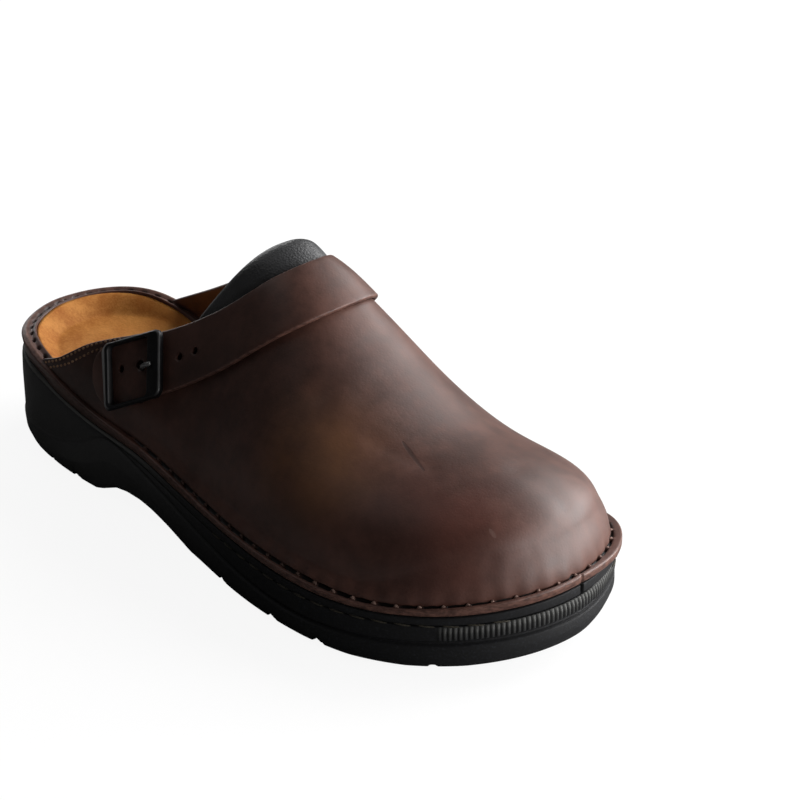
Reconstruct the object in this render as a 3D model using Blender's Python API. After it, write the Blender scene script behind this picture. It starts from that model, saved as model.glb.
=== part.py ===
"""Leather clog, right shoe, standing empty on its sole.

Lengths in the tables are millimetres in the shoe's own frame: x runs from the back of the heel
to the toe, y to the wearer's left (the medial side of this right shoe), z up from the floor.
"""

import bpy
import numpy as np

MM = 0.001

# Driving sizes
SOLE_LENGTH = 280.0
HEEL_RADIUS_LATERAL, HEEL_RADIUS_MEDIAL = 47.5, 46.0
TOE_RADIUS_LATERAL, TOE_RADIUS_MEDIAL = 50.0, 57.0
SOLE_COLUMNS = 33
GAP = 0.3

WELT_WIDTH = 10.5

RIB_PITCH = 1.8
RIB_WIDTH = 0.9
RIB_START_X = 256.0
LUG_WIDTH = 4.0
LUG_DEPTH = 2.0
TOE_NOTCH_X = 254.0

WALL = 2.2
UPPER_COLUMNS = 31
UPPER_ROWS = 25

STRAP_SLOPE = np.radians(35.0)
STRAP_WIDTH, TAIL_WIDTH, PINCH = 20.8, 17.4, 1.3
STRAP_THICK = 2.3
STRAP_LIFT = 0.5
TAIL_REACH, SEWN_X = 18.5, 76.0

BUCKLE_X = 91.5
BUCKLE_LONG, BUCKLE_TALL, BUCKLE_THICK = 27.5, 22.0, 2.8
FRONT_BAR, BACK_BAR, SIDE_BAR = 5.6, 4.2, 1.5
BUCKLE_RISE = 3.4
BUCKLE_HUMP, BUCKLE_HUMP_REACH = 2.8, 4.2
CENTRE_BAR_RADIUS, CENTRE_BAR_RISE = 0.6, 0.95
PRONG_RADIUS = 0.45
HOLE_RADIUS = 1.4
HOLE_OFFSETS = (-7.0, 20.6, 28.8)

PAD_THICK = 5.0
PAD_REACH = 0.58


def table(columns, *rows):
    """A small table: column names in one string, then one row per section."""
    return dict(zip(columns.split(), np.array(rows, float).T))


# Half-widths of the sole's plan outline
OUTLINE = table(
    "x lateral medial",
    (28, 35.6, 35.0),
    (62, 39.4, 39.8),
    (112, 42.4, 39.6),
    (154, 50.0, 45.5),
    (190, 55.8, 55.3),
    (224, 54.3, 55.9),
    (252, 43.9, 48.5),
)

# Underside of the tread: bevelled heel back, heel breast, arch, flat forefoot, toe spring
TREAD = table(
    "x z",
    (0, 5.0),
    (6, 2.0),
    (14, 0.0),
    (70, 0.0),
    (76, 2.0),
    (83, 5.0),
    (90, 6.0),
    (99, 6.0),
    (106, 5.2),
    (119, 2.8),
    (127, 1.2),
    (134, 0.0),
    (205, 0.0),
    (225, 0.5),
    (245, 2.2),
    (262, 4.7),
    (280, 8.2),
)

# Side of the sole: top and thickness of the midsole, top of the lower wall, depth of the step above it, set of the band
SIDE = table(
    "x midsole layer wall step band",
    (0, 38.0, 2.2, 11.0, 0.2, 0.3),
    (26, 37.7, 2.2, 11.0, 0.2, 0.3),
    (40, 35.6, 2.2, 11.4, 0.3, 0.2),
    (50, 33.0, 2.2, 12.6, 0.5, 0.0),
    (62, 30.2, 2.2, 16.4, 1.0, -0.3),
    (72, 28.4, 2.2, 20.0, 1.2, -0.4),
    (80, 27.5, 2.2, 21.6, 1.2, -0.3),
    (88, 26.9, 2.2, 21.2, 1.3, -0.1),
    (100, 25.8, 2.4, 19.4, 1.4, 0.1),
    (115, 23.4, 2.9, 16.6, 1.5, 0.2),
    (130, 21.5, 3.3, 13.3, 1.5, 0.2),
    (160, 20.2, 3.5, 9.5, 1.6, 0.2),
    (188, 19.8, 3.5, 8.0, 1.6, 0.2),
    (205, 19.6, 3.4, 7.9, 1.6, 0.2),
    (225, 20.1, 3.1, 9.0, 1.6, 0.2),
    (245, 21.8, 3.1, 11.2, 1.6, 0.2),
    (262, 24.4, 3.5, 13.8, 1.6, 0.2),
    (280, 28.2, 4.0, 17.0, 1.6, 0.2),
)

# Welt: height of its top, and how far the upper's foot stands in from the sole's edge
WELT = table(
    "x top inset",
    (0, 46.9, 1.5),
    (24, 46.3, 1.5),
    (36, 43.0, 1.6),
    (50, 39.0, 1.9),
    (66, 37.0, 2.4),
    (100, 32.6, 3.6),
    (130, 28.0, 4.8),
    (160, 24.5, 5.5),
    (188, 23.0, 5.6),
    (205, 22.9, 5.6),
    (225, 23.9, 5.7),
    (245, 26.1, 5.7),
    (262, 28.7, 5.8),
    (280, 32.0, 5.8),
)

# Footbed: depth of its hollow below the rim of the welt
FOOTBED = table("x depth", (0, 9.0), (40, 9.0), (90, 6.5), (130, 4.0), (190, 2.0), (280, 1.5))

# Upper along the foot, from the toe tip back: height of the ridge over the welt
RIDGE = table(
    "back height",
    (0, 0.0),
    (2.2, 12.8),
    (6.2, 20.6),
    (12, 26.2),
    (20, 30.2),
    (32, 33.6),
    (44, 36.2),
    (59, 40.2),
    (74, 46.8),
    (89, 55.4),
    (102, 63.6),
    (114, 70.0),
    (124, 74.2),
    (144, 75.0),
    (164, 71.0),
    (194, 62.0),
    (250, 43.0),
)

# Upper across the foot: where the ridge lies, and how square each side of the section is
SECTION = table(
    "x ridge_y lateral medial",
    (60, 5.0, 1.45, 2.0),
    (100, 9.5, 1.22, 1.95),
    (135, 10.5, 1.28, 1.9),
    (165, 9.0, 1.6, 1.8),
    (200, 4.0, 1.9, 1.72),
    (240, 2.0, 2.2, 2.0),
    (275, 0.0, 2.4, 2.35),
)
SWELL = 0.03

# Middle of the strap in side view; the quarters' top edges run level with it
STRAP_LINE = table(
    "x z",
    (30, 22.4),
    (60, 38.2),
    (80, 48.9),
    (91.5, 54.2),
    (105, 60.6),
    (116.5, 67.2),
    (140, 83.2),
    (161.5, 99.2),
    (190, 121.0),
)


def spline(x, xs, ys):
    """Natural cubic through the rows, held constant outside them."""
    n, h = len(xs), np.diff(xs)
    matrix, right = np.eye(n), np.zeros(n)
    for i in range(1, n - 1):
        matrix[i, i - 1 : i + 2] = h[i - 1], 2 * (h[i - 1] + h[i]), h[i]
        right[i] = 6 * ((ys[i + 1] - ys[i]) / h[i] - (ys[i] - ys[i - 1]) / h[i - 1])
    bend = np.linalg.solve(matrix, right)
    x = np.clip(x, xs[0], xs[-1])
    k = np.clip(np.searchsorted(xs, x) - 1, 0, n - 2)
    d = (x - xs[k]) / h[k]
    e = 1 - d
    return e * ys[k] + d * ys[k + 1] + h[k] ** 2 / 6 * ((e**3 - e) * bend[k] + (d**3 - d) * bend[k + 1])


def along(rows, column, x):
    return spline(x, rows["x"], rows[column])


def tread_z(x):
    return np.interp(x, TREAD["x"], TREAD["z"])


def midsole_top(x):
    return along(SIDE, "midsole", x)


def welt_top(x):
    return along(WELT, "top", x)


def welt_rise(x):
    return welt_top(x) - midsole_top(x)


# Plan outline of the sole
def outline(t, side):
    """Point of the plan outline: t runs from the heel (0) to the toe (1), side is -1 lateral or 1 medial."""
    column = "lateral" if side < 0 else "medial"
    heel = HEEL_RADIUS_LATERAL if side < 0 else HEEL_RADIUS_MEDIAL
    toe = TOE_RADIUS_LATERAL if side < 0 else TOE_RADIUS_MEDIAL
    turn = np.arccos(1 - 2 * OUTLINE["x"] / SOLE_LENGTH) / np.pi
    rows = np.concatenate([[0], turn, [1]])
    ends = np.sqrt(np.array([heel, toe]) * SOLE_LENGTH / 2)
    girth = np.concatenate([ends[:1], OUTLINE[column] / np.sin(np.pi * turn), ends[1:]])
    x = SOLE_LENGTH * (1 - np.cos(np.pi * t)) / 2
    return np.stack([x, side * np.sin(np.pi * t) * spline(t, rows, girth)], -1)


def outward(t, side):
    step = outline(t + 1e-4, side) - outline(t - 1e-4, side)
    normal = np.stack([-step[..., 1], step[..., 0]], -1) * side
    return normal / np.linalg.norm(normal, axis=-1, keepdims=True)


STATIONS = np.unique(
    np.concatenate(
        [SOLE_LENGTH * (1 - np.cos(np.pi * np.linspace(0, 1, SOLE_COLUMNS))) / 2, [70, 76, 83, 134, 205]]
    )
)
TURNS = np.arccos(1 - 2 * STATIONS / SOLE_LENGTH) / np.pi
EDGE = np.concatenate([outline(TURNS, -1), outline(TURNS, 1)[-2:0:-1]])
EDGE_OUT = np.concatenate([outward(TURNS, -1), outward(TURNS, 1)[-2:0:-1]])
EDGE_X = EDGE[:, 0]


def rail(offset, height):
    """Closed loop round the sole, moved out by offset, with its height a function of x."""
    edge = EDGE + EDGE_OUT * np.broadcast_to(offset, EDGE_X.shape)[:, None]
    return np.column_stack([edge, height(edge[:, 0])])


# Mesh helpers
def loops_solid(loops, ring=False):
    """Faces over stacked closed loops: capped straight across, or joined last to first as a ring."""
    n = len(loops[0])
    count = len(loops)
    half = n // 2
    faces = []
    for i in range(count if ring else count - 1):
        low, high = i * n, (i + 1) % count * n
        for k in range(n):
            m = (k + 1) % n
            faces.append((low + k, low + m, high + m, high + k))
    if not ring:
        top = (count - 1) * n
        for start, flip in ((0, True), (top, False)):
            caps = [(0, 1, n - 1), (half - 1, half, half + 1)]
            caps += [(k, k + 1, n - k - 1, n - k) for k in range(1, half - 1)]
            for cap in caps:
                face = tuple(start + k for k in cap)
                faces.append(face[::-1] if flip else face)
    return np.concatenate(loops), faces


def split(points, faces):
    """Four-sided faces cut along their shorter diagonal."""
    cut = []
    for face in faces:
        if len(face) != 4:
            cut.append(face)
            continue
        p, q, r, s = face
        if np.linalg.norm(points[p] - points[r]) <= np.linalg.norm(points[q] - points[s]):
            cut += [(p, q, r), (p, r, s)]
        else:
            cut += [(q, r, s), (q, s, p)]
    return cut


def sheet_solid(outer, inner):
    """Closed solid between two equal grids of points (rows, columns), with the outer one facing out."""
    rows, columns = outer.shape[:2]
    index = np.arange(rows * columns).reshape(rows, columns)
    behind = rows * columns
    faces = []
    for i in range(rows - 1):
        for j in range(columns - 1):
            quad = (index[i, j], index[i, j + 1], index[i + 1, j + 1], index[i + 1, j])
            faces.append(quad)
            faces.append(tuple(behind + k for k in quad[::-1]))
    for line in (index[0], index[:, -1], index[-1, ::-1], index[::-1, 0]):
        for p, q in zip(line[:-1], line[1:]):
            faces.append((q, p, p + behind, q + behind))
    points = np.concatenate([outer.reshape(-1, 3), inner.reshape(-1, 3)])
    return points, split(points, faces)


def blocks(boxes):
    """Boxes, each given as a centre and three half-axes (right-handed)."""
    corners = np.array([(i, j, k) for k in (-1, 1) for j in (-1, 1) for i in (-1, 1)], float)
    cube = [(0, 2, 3, 1), (4, 5, 7, 6), (0, 1, 5, 4), (1, 3, 7, 5), (3, 2, 6, 7), (2, 0, 4, 6)]
    points = [np.asarray(centre) + corners @ np.array(axes) for centre, axes in boxes]
    faces = [tuple(8 * n + k for k in face) for n in range(len(boxes)) for face in cube]
    return np.concatenate(points), faces


def tube(path, radius, across, sides=8):
    """Round rod along a path lying square to the direction across, with flat ends."""
    path = np.asarray(path, float)
    run = np.gradient(path, axis=0)
    run /= np.linalg.norm(run, axis=1, keepdims=True)
    lift = np.cross(run, across)
    angle = np.linspace(0, 2 * np.pi, sides, endpoint=False)
    ring = np.cos(angle)[None, :, None] * np.asarray(across) + np.sin(angle)[None, :, None] * lift[:, None]
    points = path[:, None] + radius * ring
    faces = []
    for i in range(len(path) - 1):
        for k in range(sides):
            m = (k + 1) % sides
            faces.append((i * sides + k, i * sides + m, (i + 1) * sides + m, (i + 1) * sides + k))
    last = (len(path) - 1) * sides
    faces.append(tuple(range(sides))[::-1])
    faces.append(tuple(last + k for k in range(sides)))
    return points.reshape(-1, 3), faces


# Scene set-up
for old in list(bpy.data.objects):
    bpy.data.objects.remove(old)
clog = bpy.data.collections.new("leather_clog")
helpers = bpy.data.collections.new("leather_clog_cutters")
helpers.hide_render = True
for folder in (clog, helpers):
    bpy.context.scene.collection.children.link(folder)
root = bpy.data.objects.new("clog_frame", None)
clog.objects.link(root)


def material(name, colour, roughness, metallic=0.0):
    made = bpy.data.materials.new(name)
    made.use_nodes = True
    shader = made.node_tree.nodes["Principled BSDF"]
    shader.inputs["Base Color"].default_value = (*colour, 1)
    shader.inputs["Roughness"].default_value = roughness
    shader.inputs["Metallic"].default_value = metallic
    return made


BROWN_LEATHER = material("brown_leather", (0.075, 0.038, 0.028), 0.45)
TAN_LEATHER = material("tan_leather", (0.45, 0.2, 0.06), 0.6)
BLACK_LEATHER = material("black_leather", (0.012, 0.012, 0.012), 0.5)
BLACK_RUBBER = material("black_rubber", (0.014, 0.014, 0.015), 0.55)
BLACK_METAL = material("black_metal", (0.02, 0.02, 0.02), 0.35, 1.0)

sizes = []


def part(name, solid, finish=None):
    """One named object from points in millimetres and faces: a piece if it has a finish, else a cutter."""
    points, faces = solid
    mesh = bpy.data.meshes.new(name)
    mesh.from_pydata((points * MM).tolist(), [], [tuple(int(k) for k in face) for face in faces])
    mesh.update()
    obj = bpy.data.objects.new(name, mesh)
    obj.parent = root
    if finish:
        clog.objects.link(obj)
        mesh.materials.append(finish)
        sizes.append((points.min(axis=0), points.max(axis=0)))
    else:
        helpers.objects.link(obj)
        obj.hide_render = True
        obj.display_type = "WIRE"
    return obj


def combine(obj, other, operation):
    modifier = obj.modifiers.new(other.name, "BOOLEAN")
    modifier.operation = operation
    modifier.solver = "EXACT"
    modifier.object = other


# Outsole
def wall_top(x):
    return np.minimum(along(SIDE, "wall", x), outsole_top(x) - 3.2)


def outsole_top(x):
    return midsole_top(x) - along(SIDE, "layer", x)


step = along(SIDE, "step", EDGE_X)
band = along(SIDE, "band", EDGE_X)
outsole = part(
    "outsole",
    loops_solid(
        [
            rail(-3.0, tread_z),
            rail(-1.2, lambda x: tread_z(x) + 0.5),
            rail(0.3, lambda x: tread_z(x) + 2.6),
            rail(1.0, lambda x: 0.4 * tread_z(x) + 0.6 * wall_top(x)),
            rail(0.6, wall_top),
            rail(0.6 - step, lambda x: wall_top(x) + 0.7),
            rail(0.6 - step, lambda x: wall_top(x) + 1.5),
            rail(band, lambda x: wall_top(x) + 2.0),
            rail(band, lambda x: outsole_top(x) - 0.5),
            rail(band - 0.7, outsole_top),
        ]
    ),
    BLACK_RUBBER,
)

# Ribs of the toe band: upright bars at an even pitch from one side of the toe to the other
trace_t = np.linspace(np.arccos(1 - 2 * RIB_START_X / SOLE_LENGTH) / np.pi, 1, 200)
trace = np.concatenate([outline(trace_t, -1), outline(trace_t, 1)[-2::-1]])
trace_out = np.concatenate([outward(trace_t, -1), outward(trace_t, 1)[-2::-1]])
run = np.concatenate([[0], np.cumsum(np.linalg.norm(np.diff(trace, axis=0), axis=1))])
ribs = []
for at in np.arange(RIB_PITCH / 2, run[-1], RIB_PITCH):
    x, y = (np.interp(at, run, trace[:, k]) for k in (0, 1))
    out = np.array([np.interp(at, run, trace_out[:, k]) for k in (0, 1)] + [0])
    out /= np.linalg.norm(out)
    bottom, top = wall_top(x) + 2.4, outsole_top(x) - 0.8
    centre = np.array([x, y, (bottom + top) / 2]) - 0.1 * out
    side = np.cross((0, 0, 1), out)
    ribs.append((centre, (0.9 * out, RIB_WIDTH / 2 * side, np.array([0, 0, (top - bottom) / 2]))))
combine(outsole, part("toe_ribs", blocks(ribs)), "UNION")

# Tread lugs: cross grooves under heel and forefoot, one short notch on each side of the toe
grooves = []
for x in (41, 58, 158, 189, 212):
    top = float(tread_z(x)) + LUG_DEPTH
    grooves.append(((x, 0, top - 10), ((LUG_WIDTH / 2, 0, 0), (0, 75, 0), (0, 0, 10))))
for side in (-1, 1):
    t = np.arccos(1 - 2 * TOE_NOTCH_X / SOLE_LENGTH) / np.pi
    out = np.append(outward(t, side), 0)
    edge = np.append(outline(t, side), float(tread_z(TOE_NOTCH_X)) + LUG_DEPTH - 10)
    grooves.append((edge, (8 * out, LUG_WIDTH / 2 * np.cross((0, 0, 1), out), (0, 0, 10))))
combine(outsole, part("tread_grooves", blocks(grooves)), "DIFFERENCE")

# Midsole
part(
    "midsole",
    loops_solid(
        [
            rail(-0.9, lambda x: outsole_top(x) + GAP),
            rail(-0.3, lambda x: outsole_top(x) + GAP + 0.5),
            rail(-0.3, lambda x: midsole_top(x) - 0.5),
            rail(-0.9, midsole_top),
        ]
    ),
    BLACK_RUBBER,
)

# Welt: a strip round the sole that grows into the padded rim of the heel
rise = welt_rise(EDGE_X)
part(
    "welt",
    loops_solid(
        [
            rail(-WELT_WIDTH, lambda x: midsole_top(x) + GAP),
            rail(-0.8, lambda x: midsole_top(x) + GAP),
            rail(-0.2, lambda x: midsole_top(x) + GAP + 0.6),
            rail(-0.2 - 0.06 * rise, lambda x: welt_top(x) - 0.45 * welt_rise(x)),
            rail(-0.5 - 0.1 * rise, lambda x: welt_top(x) - 0.1 * welt_rise(x)),
            rail(-1.2 - 0.15 * rise, welt_top),
            rail(-WELT_WIDTH, lambda x: welt_top(x) - 0.05 * welt_rise(x)),
        ],
        ring=True,
    ),
    BROWN_LEATHER,
)


# Insole: a footbed that fills the welt, hollowed for the foot
def footbed_z(x, share):
    rim = welt_top(x) - 0.05 * welt_rise(x) - 0.5
    return np.maximum(rim - share * along(FOOTBED, "depth", x), midsole_top(x) + 1.8)


bed = [rail(-WELT_WIDTH - GAP, lambda x: midsole_top(x) + GAP)]
for inset, share in ((0, 0.0), (3, 0.1), (7, 0.4), (12, 0.75), (18, 1.0)):
    bed.append(rail(-WELT_WIDTH - GAP - inset, lambda x, share=share: footbed_z(x, share)))
part("insole", loops_solid(bed), TAN_LEATHER)


# Surface of the upper
def foot_line(side):
    """Line where the upper stands on the welt: x and half-width, from heel to toe."""
    t = np.linspace(0, 1, 600)
    inset = along(WELT, "inset", SOLE_LENGTH * (1 - np.cos(np.pi * t)) / 2)
    line = outline(t, side) - outward(t, side) * inset[:, None]
    return line[:, 0], np.abs(line[:, 1])


FOOT_LATERAL, FOOT_MEDIAL = foot_line(-1), foot_line(1)
TOE_TIP = FOOT_LATERAL[0][-1]


def upper_point(a, x):
    """Point of the upper: a runs from -1 at the lateral welt over the ridge (0) to 1 at the medial welt."""
    a, x = np.broadcast_arrays(np.asarray(a, float), np.asarray(x, float))
    back = np.maximum(TOE_TIP - x, 0)
    height = spline(np.sqrt(back), np.sqrt(RIDGE["back"]), RIDGE["height"])
    ridge_y = along(SECTION, "ridge_y", x)
    width = np.where(a < 0, np.interp(x, *FOOT_LATERAL) + ridge_y, np.interp(x, *FOOT_MEDIAL) - ridge_y)
    v = np.clip(1 - np.abs(a), 0, 1) * np.pi / 2
    square = np.where(a < 0, along(SECTION, "lateral", x), along(SECTION, "medial", x))
    power = 2 / (square + (2 - square) * np.sin(v) ** 6)
    reach = np.cos(v) ** power * (1 + SWELL * np.sin(2 * v))
    y = ridge_y + np.sign(a) * width * reach
    z = welt_top(x) + GAP + height * np.sin(v) ** power
    return np.stack([x, y, z], -1)


def strap_level(point):
    """Distance across the strap in side view: 0 on its middle line, up towards the ankle."""
    return (point[..., 2] - along(STRAP_LINE, "z", point[..., 0])) * np.cos(STRAP_SLOPE)


def x_at_level(a, level):
    """Where the line a of the upper crosses a level of the strap."""
    a, level = np.broadcast_arrays(np.asarray(a, float), np.asarray(level, float))
    near, far = np.full(a.shape, 5.0), np.full(a.shape, 265.0)
    for _ in range(40):
        middle = (near + far) / 2
        above = strap_level(upper_point(a, middle)) > level
        near = np.where(above, middle, near)
        far = np.where(above, far, middle)
    return middle


def upper_normal(a, x):
    da = upper_point(np.minimum(a + 1e-3, 1), x) - upper_point(np.maximum(a - 1e-3, -1), x)
    dx = upper_point(a, x + 0.1) - upper_point(a, x - 0.1)
    normal = np.cross(dx, da)
    return normal / np.linalg.norm(normal, axis=-1, keepdims=True)


def throat_level(a):
    """Top edge of the upper: straight along both quarters, lower where the strap covers it on the instep."""
    high = np.where(a < 0, 14.0, 17.0)
    blend = np.clip((np.abs(a) - 0.45) / 0.3, 0, 1)
    return 5.0 + (high - 5.0) * blend**2 * (3 - 2 * blend)


# Upper: the inner skin follows the outer one at the thickness of the leather
def upper_solid():
    a = np.linspace(-1, 1, UPPER_COLUMNS)[None, :]
    share = np.linspace(0, 1, UPPER_ROWS)[:-1, None]
    start = x_at_level(a, throat_level(a))
    x = start + (TOE_TIP - start) * (1 - (1 - share) ** 2)
    outer = upper_point(a, x)
    inner = outer - upper_normal(a, x) * WALL
    tip = upper_point(0.0, TOE_TIP)
    rows, columns = x.shape
    each = rows * columns + 1
    points = [outer.reshape(-1, 3), tip[None], inner.reshape(-1, 3), tip[None] - (WALL, 0, 0)]
    faces = []
    for i in range(rows):
        for j in range(columns - 1):
            near, far = i * columns + j, (i + 1) * columns + j
            if i + 1 < rows:
                quad = (near, far, far + 1, near + 1)
            else:
                quad = (near, each - 1, near + 1)
            faces.append(quad)
            faces.append(tuple(each + k for k in quad[::-1]))
    throat = list(range(columns))
    left = [i * columns for i in range(rows)] + [each - 1]
    right = [i * columns + columns - 1 for i in range(rows)] + [each - 1]
    for line in (throat, left[::-1], right):
        for p, q in zip(line[:-1], line[1:]):
            faces.append((p, q, q + each, p + each))
    points = np.concatenate(points)
    return points, split(points, faces)


part("upper", upper_solid(), BROWN_LEATHER)

# Middle line of the strap over the upper, from the lateral side to the medial one
LINE_A = np.linspace(-0.98, 0.98, 800)
LINE_X = x_at_level(LINE_A, 0.0)
LINE = upper_point(LINE_A, LINE_X)
LINE_RUN = np.concatenate([[0], np.cumsum(np.linalg.norm(np.diff(LINE, axis=0), axis=1))])
LINE_AHEAD = np.gradient(LINE, axis=0)
LINE_AHEAD /= np.linalg.norm(LINE_AHEAD, axis=1, keepdims=True)


def over_strap(run, level, out):
    """Place over the upper: run along the strap's middle line, level square across it, out from the leather."""
    run, level, out = (value.astype(float) for value in np.broadcast_arrays(run, level, out))
    middle = np.stack([np.interp(run, LINE_RUN, LINE[:, k]) for k in range(3)], -1)
    ahead = np.stack([np.interp(run, LINE_RUN, LINE_AHEAD[:, k]) for k in range(3)], -1)
    place = run
    for _ in range(8):
        a = np.interp(place, LINE_RUN, LINE_A)
        x = x_at_level(a, level)
        point = upper_point(a, x)
        place = place - ((point - middle) * ahead).sum(axis=-1)
    return point + upper_normal(a, x) * out[..., None]


# Buckle's axes on the lateral quarter: along the strap, across it, outwards
lateral, medial = LINE_A < 0, LINE_A > 0
BUCKLE_RUN = float(np.interp(BUCKLE_X, LINE_X[lateral], LINE_RUN[lateral]))
SEWN_RUN = float(np.interp(-SEWN_X, -LINE_X[medial], LINE_RUN[medial]))
LONG = np.array([np.interp(BUCKLE_RUN, LINE_RUN, LINE_AHEAD[:, k]) for k in range(3)])
side_step = over_strap(BUCKLE_RUN, 1.0, 0.0) - over_strap(BUCKLE_RUN, -1.0, 0.0)
SLANT = 2 / float(np.linalg.norm(side_step))
TALL = side_step - LONG * (side_step @ LONG)
TALL /= np.linalg.norm(TALL)
OUT = np.cross(LONG, TALL)


def on_buckle(long, tall, out):
    return over_strap(BUCKLE_RUN + np.asarray(long), np.asarray(tall) * SLANT, out)


# Strap: columns close together at the buckle, with a rounded tail and a plain sewn end
def strap_grid(lift):
    share = np.linspace(-1, 1, 7)[:, None]
    tail = np.arange(-TAIL_REACH, 16, 2.0)
    long = np.concatenate([tail, np.linspace(tail[-1] + 5, SEWN_RUN - BUCKLE_RUN, 31)])
    round_end = TAIL_WIDTH / 2 * (1 - np.sqrt(1 - 0.96 * share**2))
    order = np.arange(len(long))
    long = long + 0.7 * round_end * np.clip(1 - order / 6, 0, 1)
    long = long - 0.2 * round_end * np.clip(1 - order[::-1] / 3, 0, 1)
    half = np.interp(long, (18, 75), (TAIL_WIDTH / 2, STRAP_WIDTH / 2)) - PINCH * np.exp(-((long / 12) ** 6))
    hump = BUCKLE_HUMP * np.exp(-((long / BUCKLE_HUMP_REACH) ** 2))
    return over_strap(BUCKLE_RUN + long, share * half, STRAP_LIFT + hump + lift)


strap = part("strap", sheet_solid(strap_grid(STRAP_THICK), strap_grid(0.0)), BROWN_LEATHER)
holes = []
for long in HOLE_OFFSETS:
    holes.append(tube(on_buckle(long, 0.0, np.array([-14.0, 22.0])), HOLE_RADIUS, LONG, 12))
holes.append(blocks([(on_buckle(3.2, 0.0, 3.0), (2.5 * LONG, 1.2 * TALL, 12 * OUT))]))
for number, hole in enumerate(holes):
    combine(strap, part(f"strap_hole_{number}", hole), "DIFFERENCE")


# Buckle: a rounded frame over the strap with a centre bar under it
def rounded(long, tall, radius, out, shift=0.0):
    """Loop of a rounded rectangle in the buckle's plane."""
    turn = np.linspace(0, 2 * np.pi, 32, endpoint=False) + np.pi / 32
    corner = np.floor(turn / (np.pi / 2)).astype(int)
    right = np.where((corner == 0) | (corner == 3), 1, -1) * (long / 2 - radius) + shift
    up = np.where(corner < 2, 1, -1) * (tall / 2 - radius)
    return on_buckle(right + radius * np.cos(turn), up + radius * np.sin(turn), np.full(turn.shape, out))


low, high = BUCKLE_RISE, BUCKLE_RISE + BUCKLE_THICK
open_long, open_tall = BUCKLE_LONG - FRONT_BAR - BACK_BAR, BUCKLE_TALL - 2 * SIDE_BAR
shift = (BACK_BAR - FRONT_BAR) / 2
frame = [
    rounded(open_long, open_tall, 1.5, low, shift),
    rounded(BUCKLE_LONG - 0.8, BUCKLE_TALL - 0.8, 2.6, low),
    rounded(BUCKLE_LONG, BUCKLE_TALL, 3.0, low + 0.5),
    rounded(BUCKLE_LONG, BUCKLE_TALL, 3.0, high - 0.7),
    rounded(BUCKLE_LONG - 1.2, BUCKLE_TALL - 1.2, 2.4, high),
    rounded(open_long + 0.5, open_tall + 0.5, 1.75, high, shift),
]
buckle = part("buckle", loops_solid(frame, ring=True), BLACK_METAL)
leg = (open_tall + BUCKLE_TALL) / 4
bar = [(0, leg, low + 1.4), (0, leg, 2.0), (0, leg - 0.3, 1.3), (0, leg - 0.9, CENTRE_BAR_RISE)]
bar = np.array(bar + [(0, -tall, out) for _, tall, out in bar[::-1]])
combine(buckle, part("buckle_bar", tube(on_buckle(*bar.T), CENTRE_BAR_RADIUS, LONG)), "UNION")

# Prong: hooked over the centre bar, up through the strap and onto the front bar of the frame
hook = CENTRE_BAR_RADIUS + GAP + PRONG_RADIUS
sweep = np.radians([180, 145, 110, 75])
over = [(hook * np.cos(s), 0, CENTRE_BAR_RISE + hook * np.sin(s)) for s in sweep]
rest = high + GAP + PRONG_RADIUS
over += [(1.8, 0, 2.6), (3.4, 0, 4.4), (5.6, 0, 6.3), (7.6, 0, rest), (11.6, 0, rest)]
part("prong", tube(on_buckle(*np.array(over).T), PRONG_RADIUS, TALL), BLACK_METAL)


# Instep pad: tucked under the throat edge, flaring out above the strap
PAD_LEVELS = np.array([-22, -16, -10, -4, 1, 5, 7.6, 10.4])
PAD_SHARES = np.array([0.2, 0.4, 0.65, 0.87, 1.0])


def pad_grid(inner):
    a = np.linspace(-PAD_REACH, PAD_REACH, 23)
    edge = 1 - (a / PAD_REACH) ** 2
    above = (1.2 + 8.2 * edge**1.2) * PAD_SHARES[:, None]
    level = np.concatenate([np.repeat(PAD_LEVELS[:, None], len(a), axis=1), PAD_LEVELS[-1] + above])
    share = np.concatenate([np.zeros(len(PAD_LEVELS)), PAD_SHARES])[:, None]
    clear = -WALL - 0.5
    out_of_throat = np.clip((level - throat_level(a) - 2.6) / 2.6, 0, 1)
    flare = 5.6 * np.clip(edge, 0, 1) ** 0.8 * share
    skin = clear + (-0.6 - clear) * out_of_throat + flare - 1.4 * share**8
    thick = (0.8 + (PAD_THICK - 0.8) * np.sqrt(np.clip(edge, 0, 1))) * (1 - 0.5 * share**8)
    x = x_at_level(a, level)
    return upper_point(a, x) + upper_normal(a, x) * (skin - (thick if inner else 0.0))[..., None]


part("instep_pad", sheet_solid(pad_grid(False), pad_grid(True)), BLACK_LEATHER)

# Stand the shoe on the floor with its box centred on the origin
least = np.min([size[0] for size in sizes], axis=0)
most = np.max([size[1] for size in sizes], axis=0)
root.location = (-(least[0] + most[0]) / 2 * MM, -(least[1] + most[1]) / 2 * MM, -least[2] * MM)
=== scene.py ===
# %% [markdown]
# # Dressing a leather clog
# The measured solids of a backless leather clog for the right foot stand in the frame already.
# Each step below lays a finer piece over one of those solids, as a shoemaker would add it: sole, welt,
# footbed, upper, pad, strap, buckle and threads. Last come the floor, the light and the camera.

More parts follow.
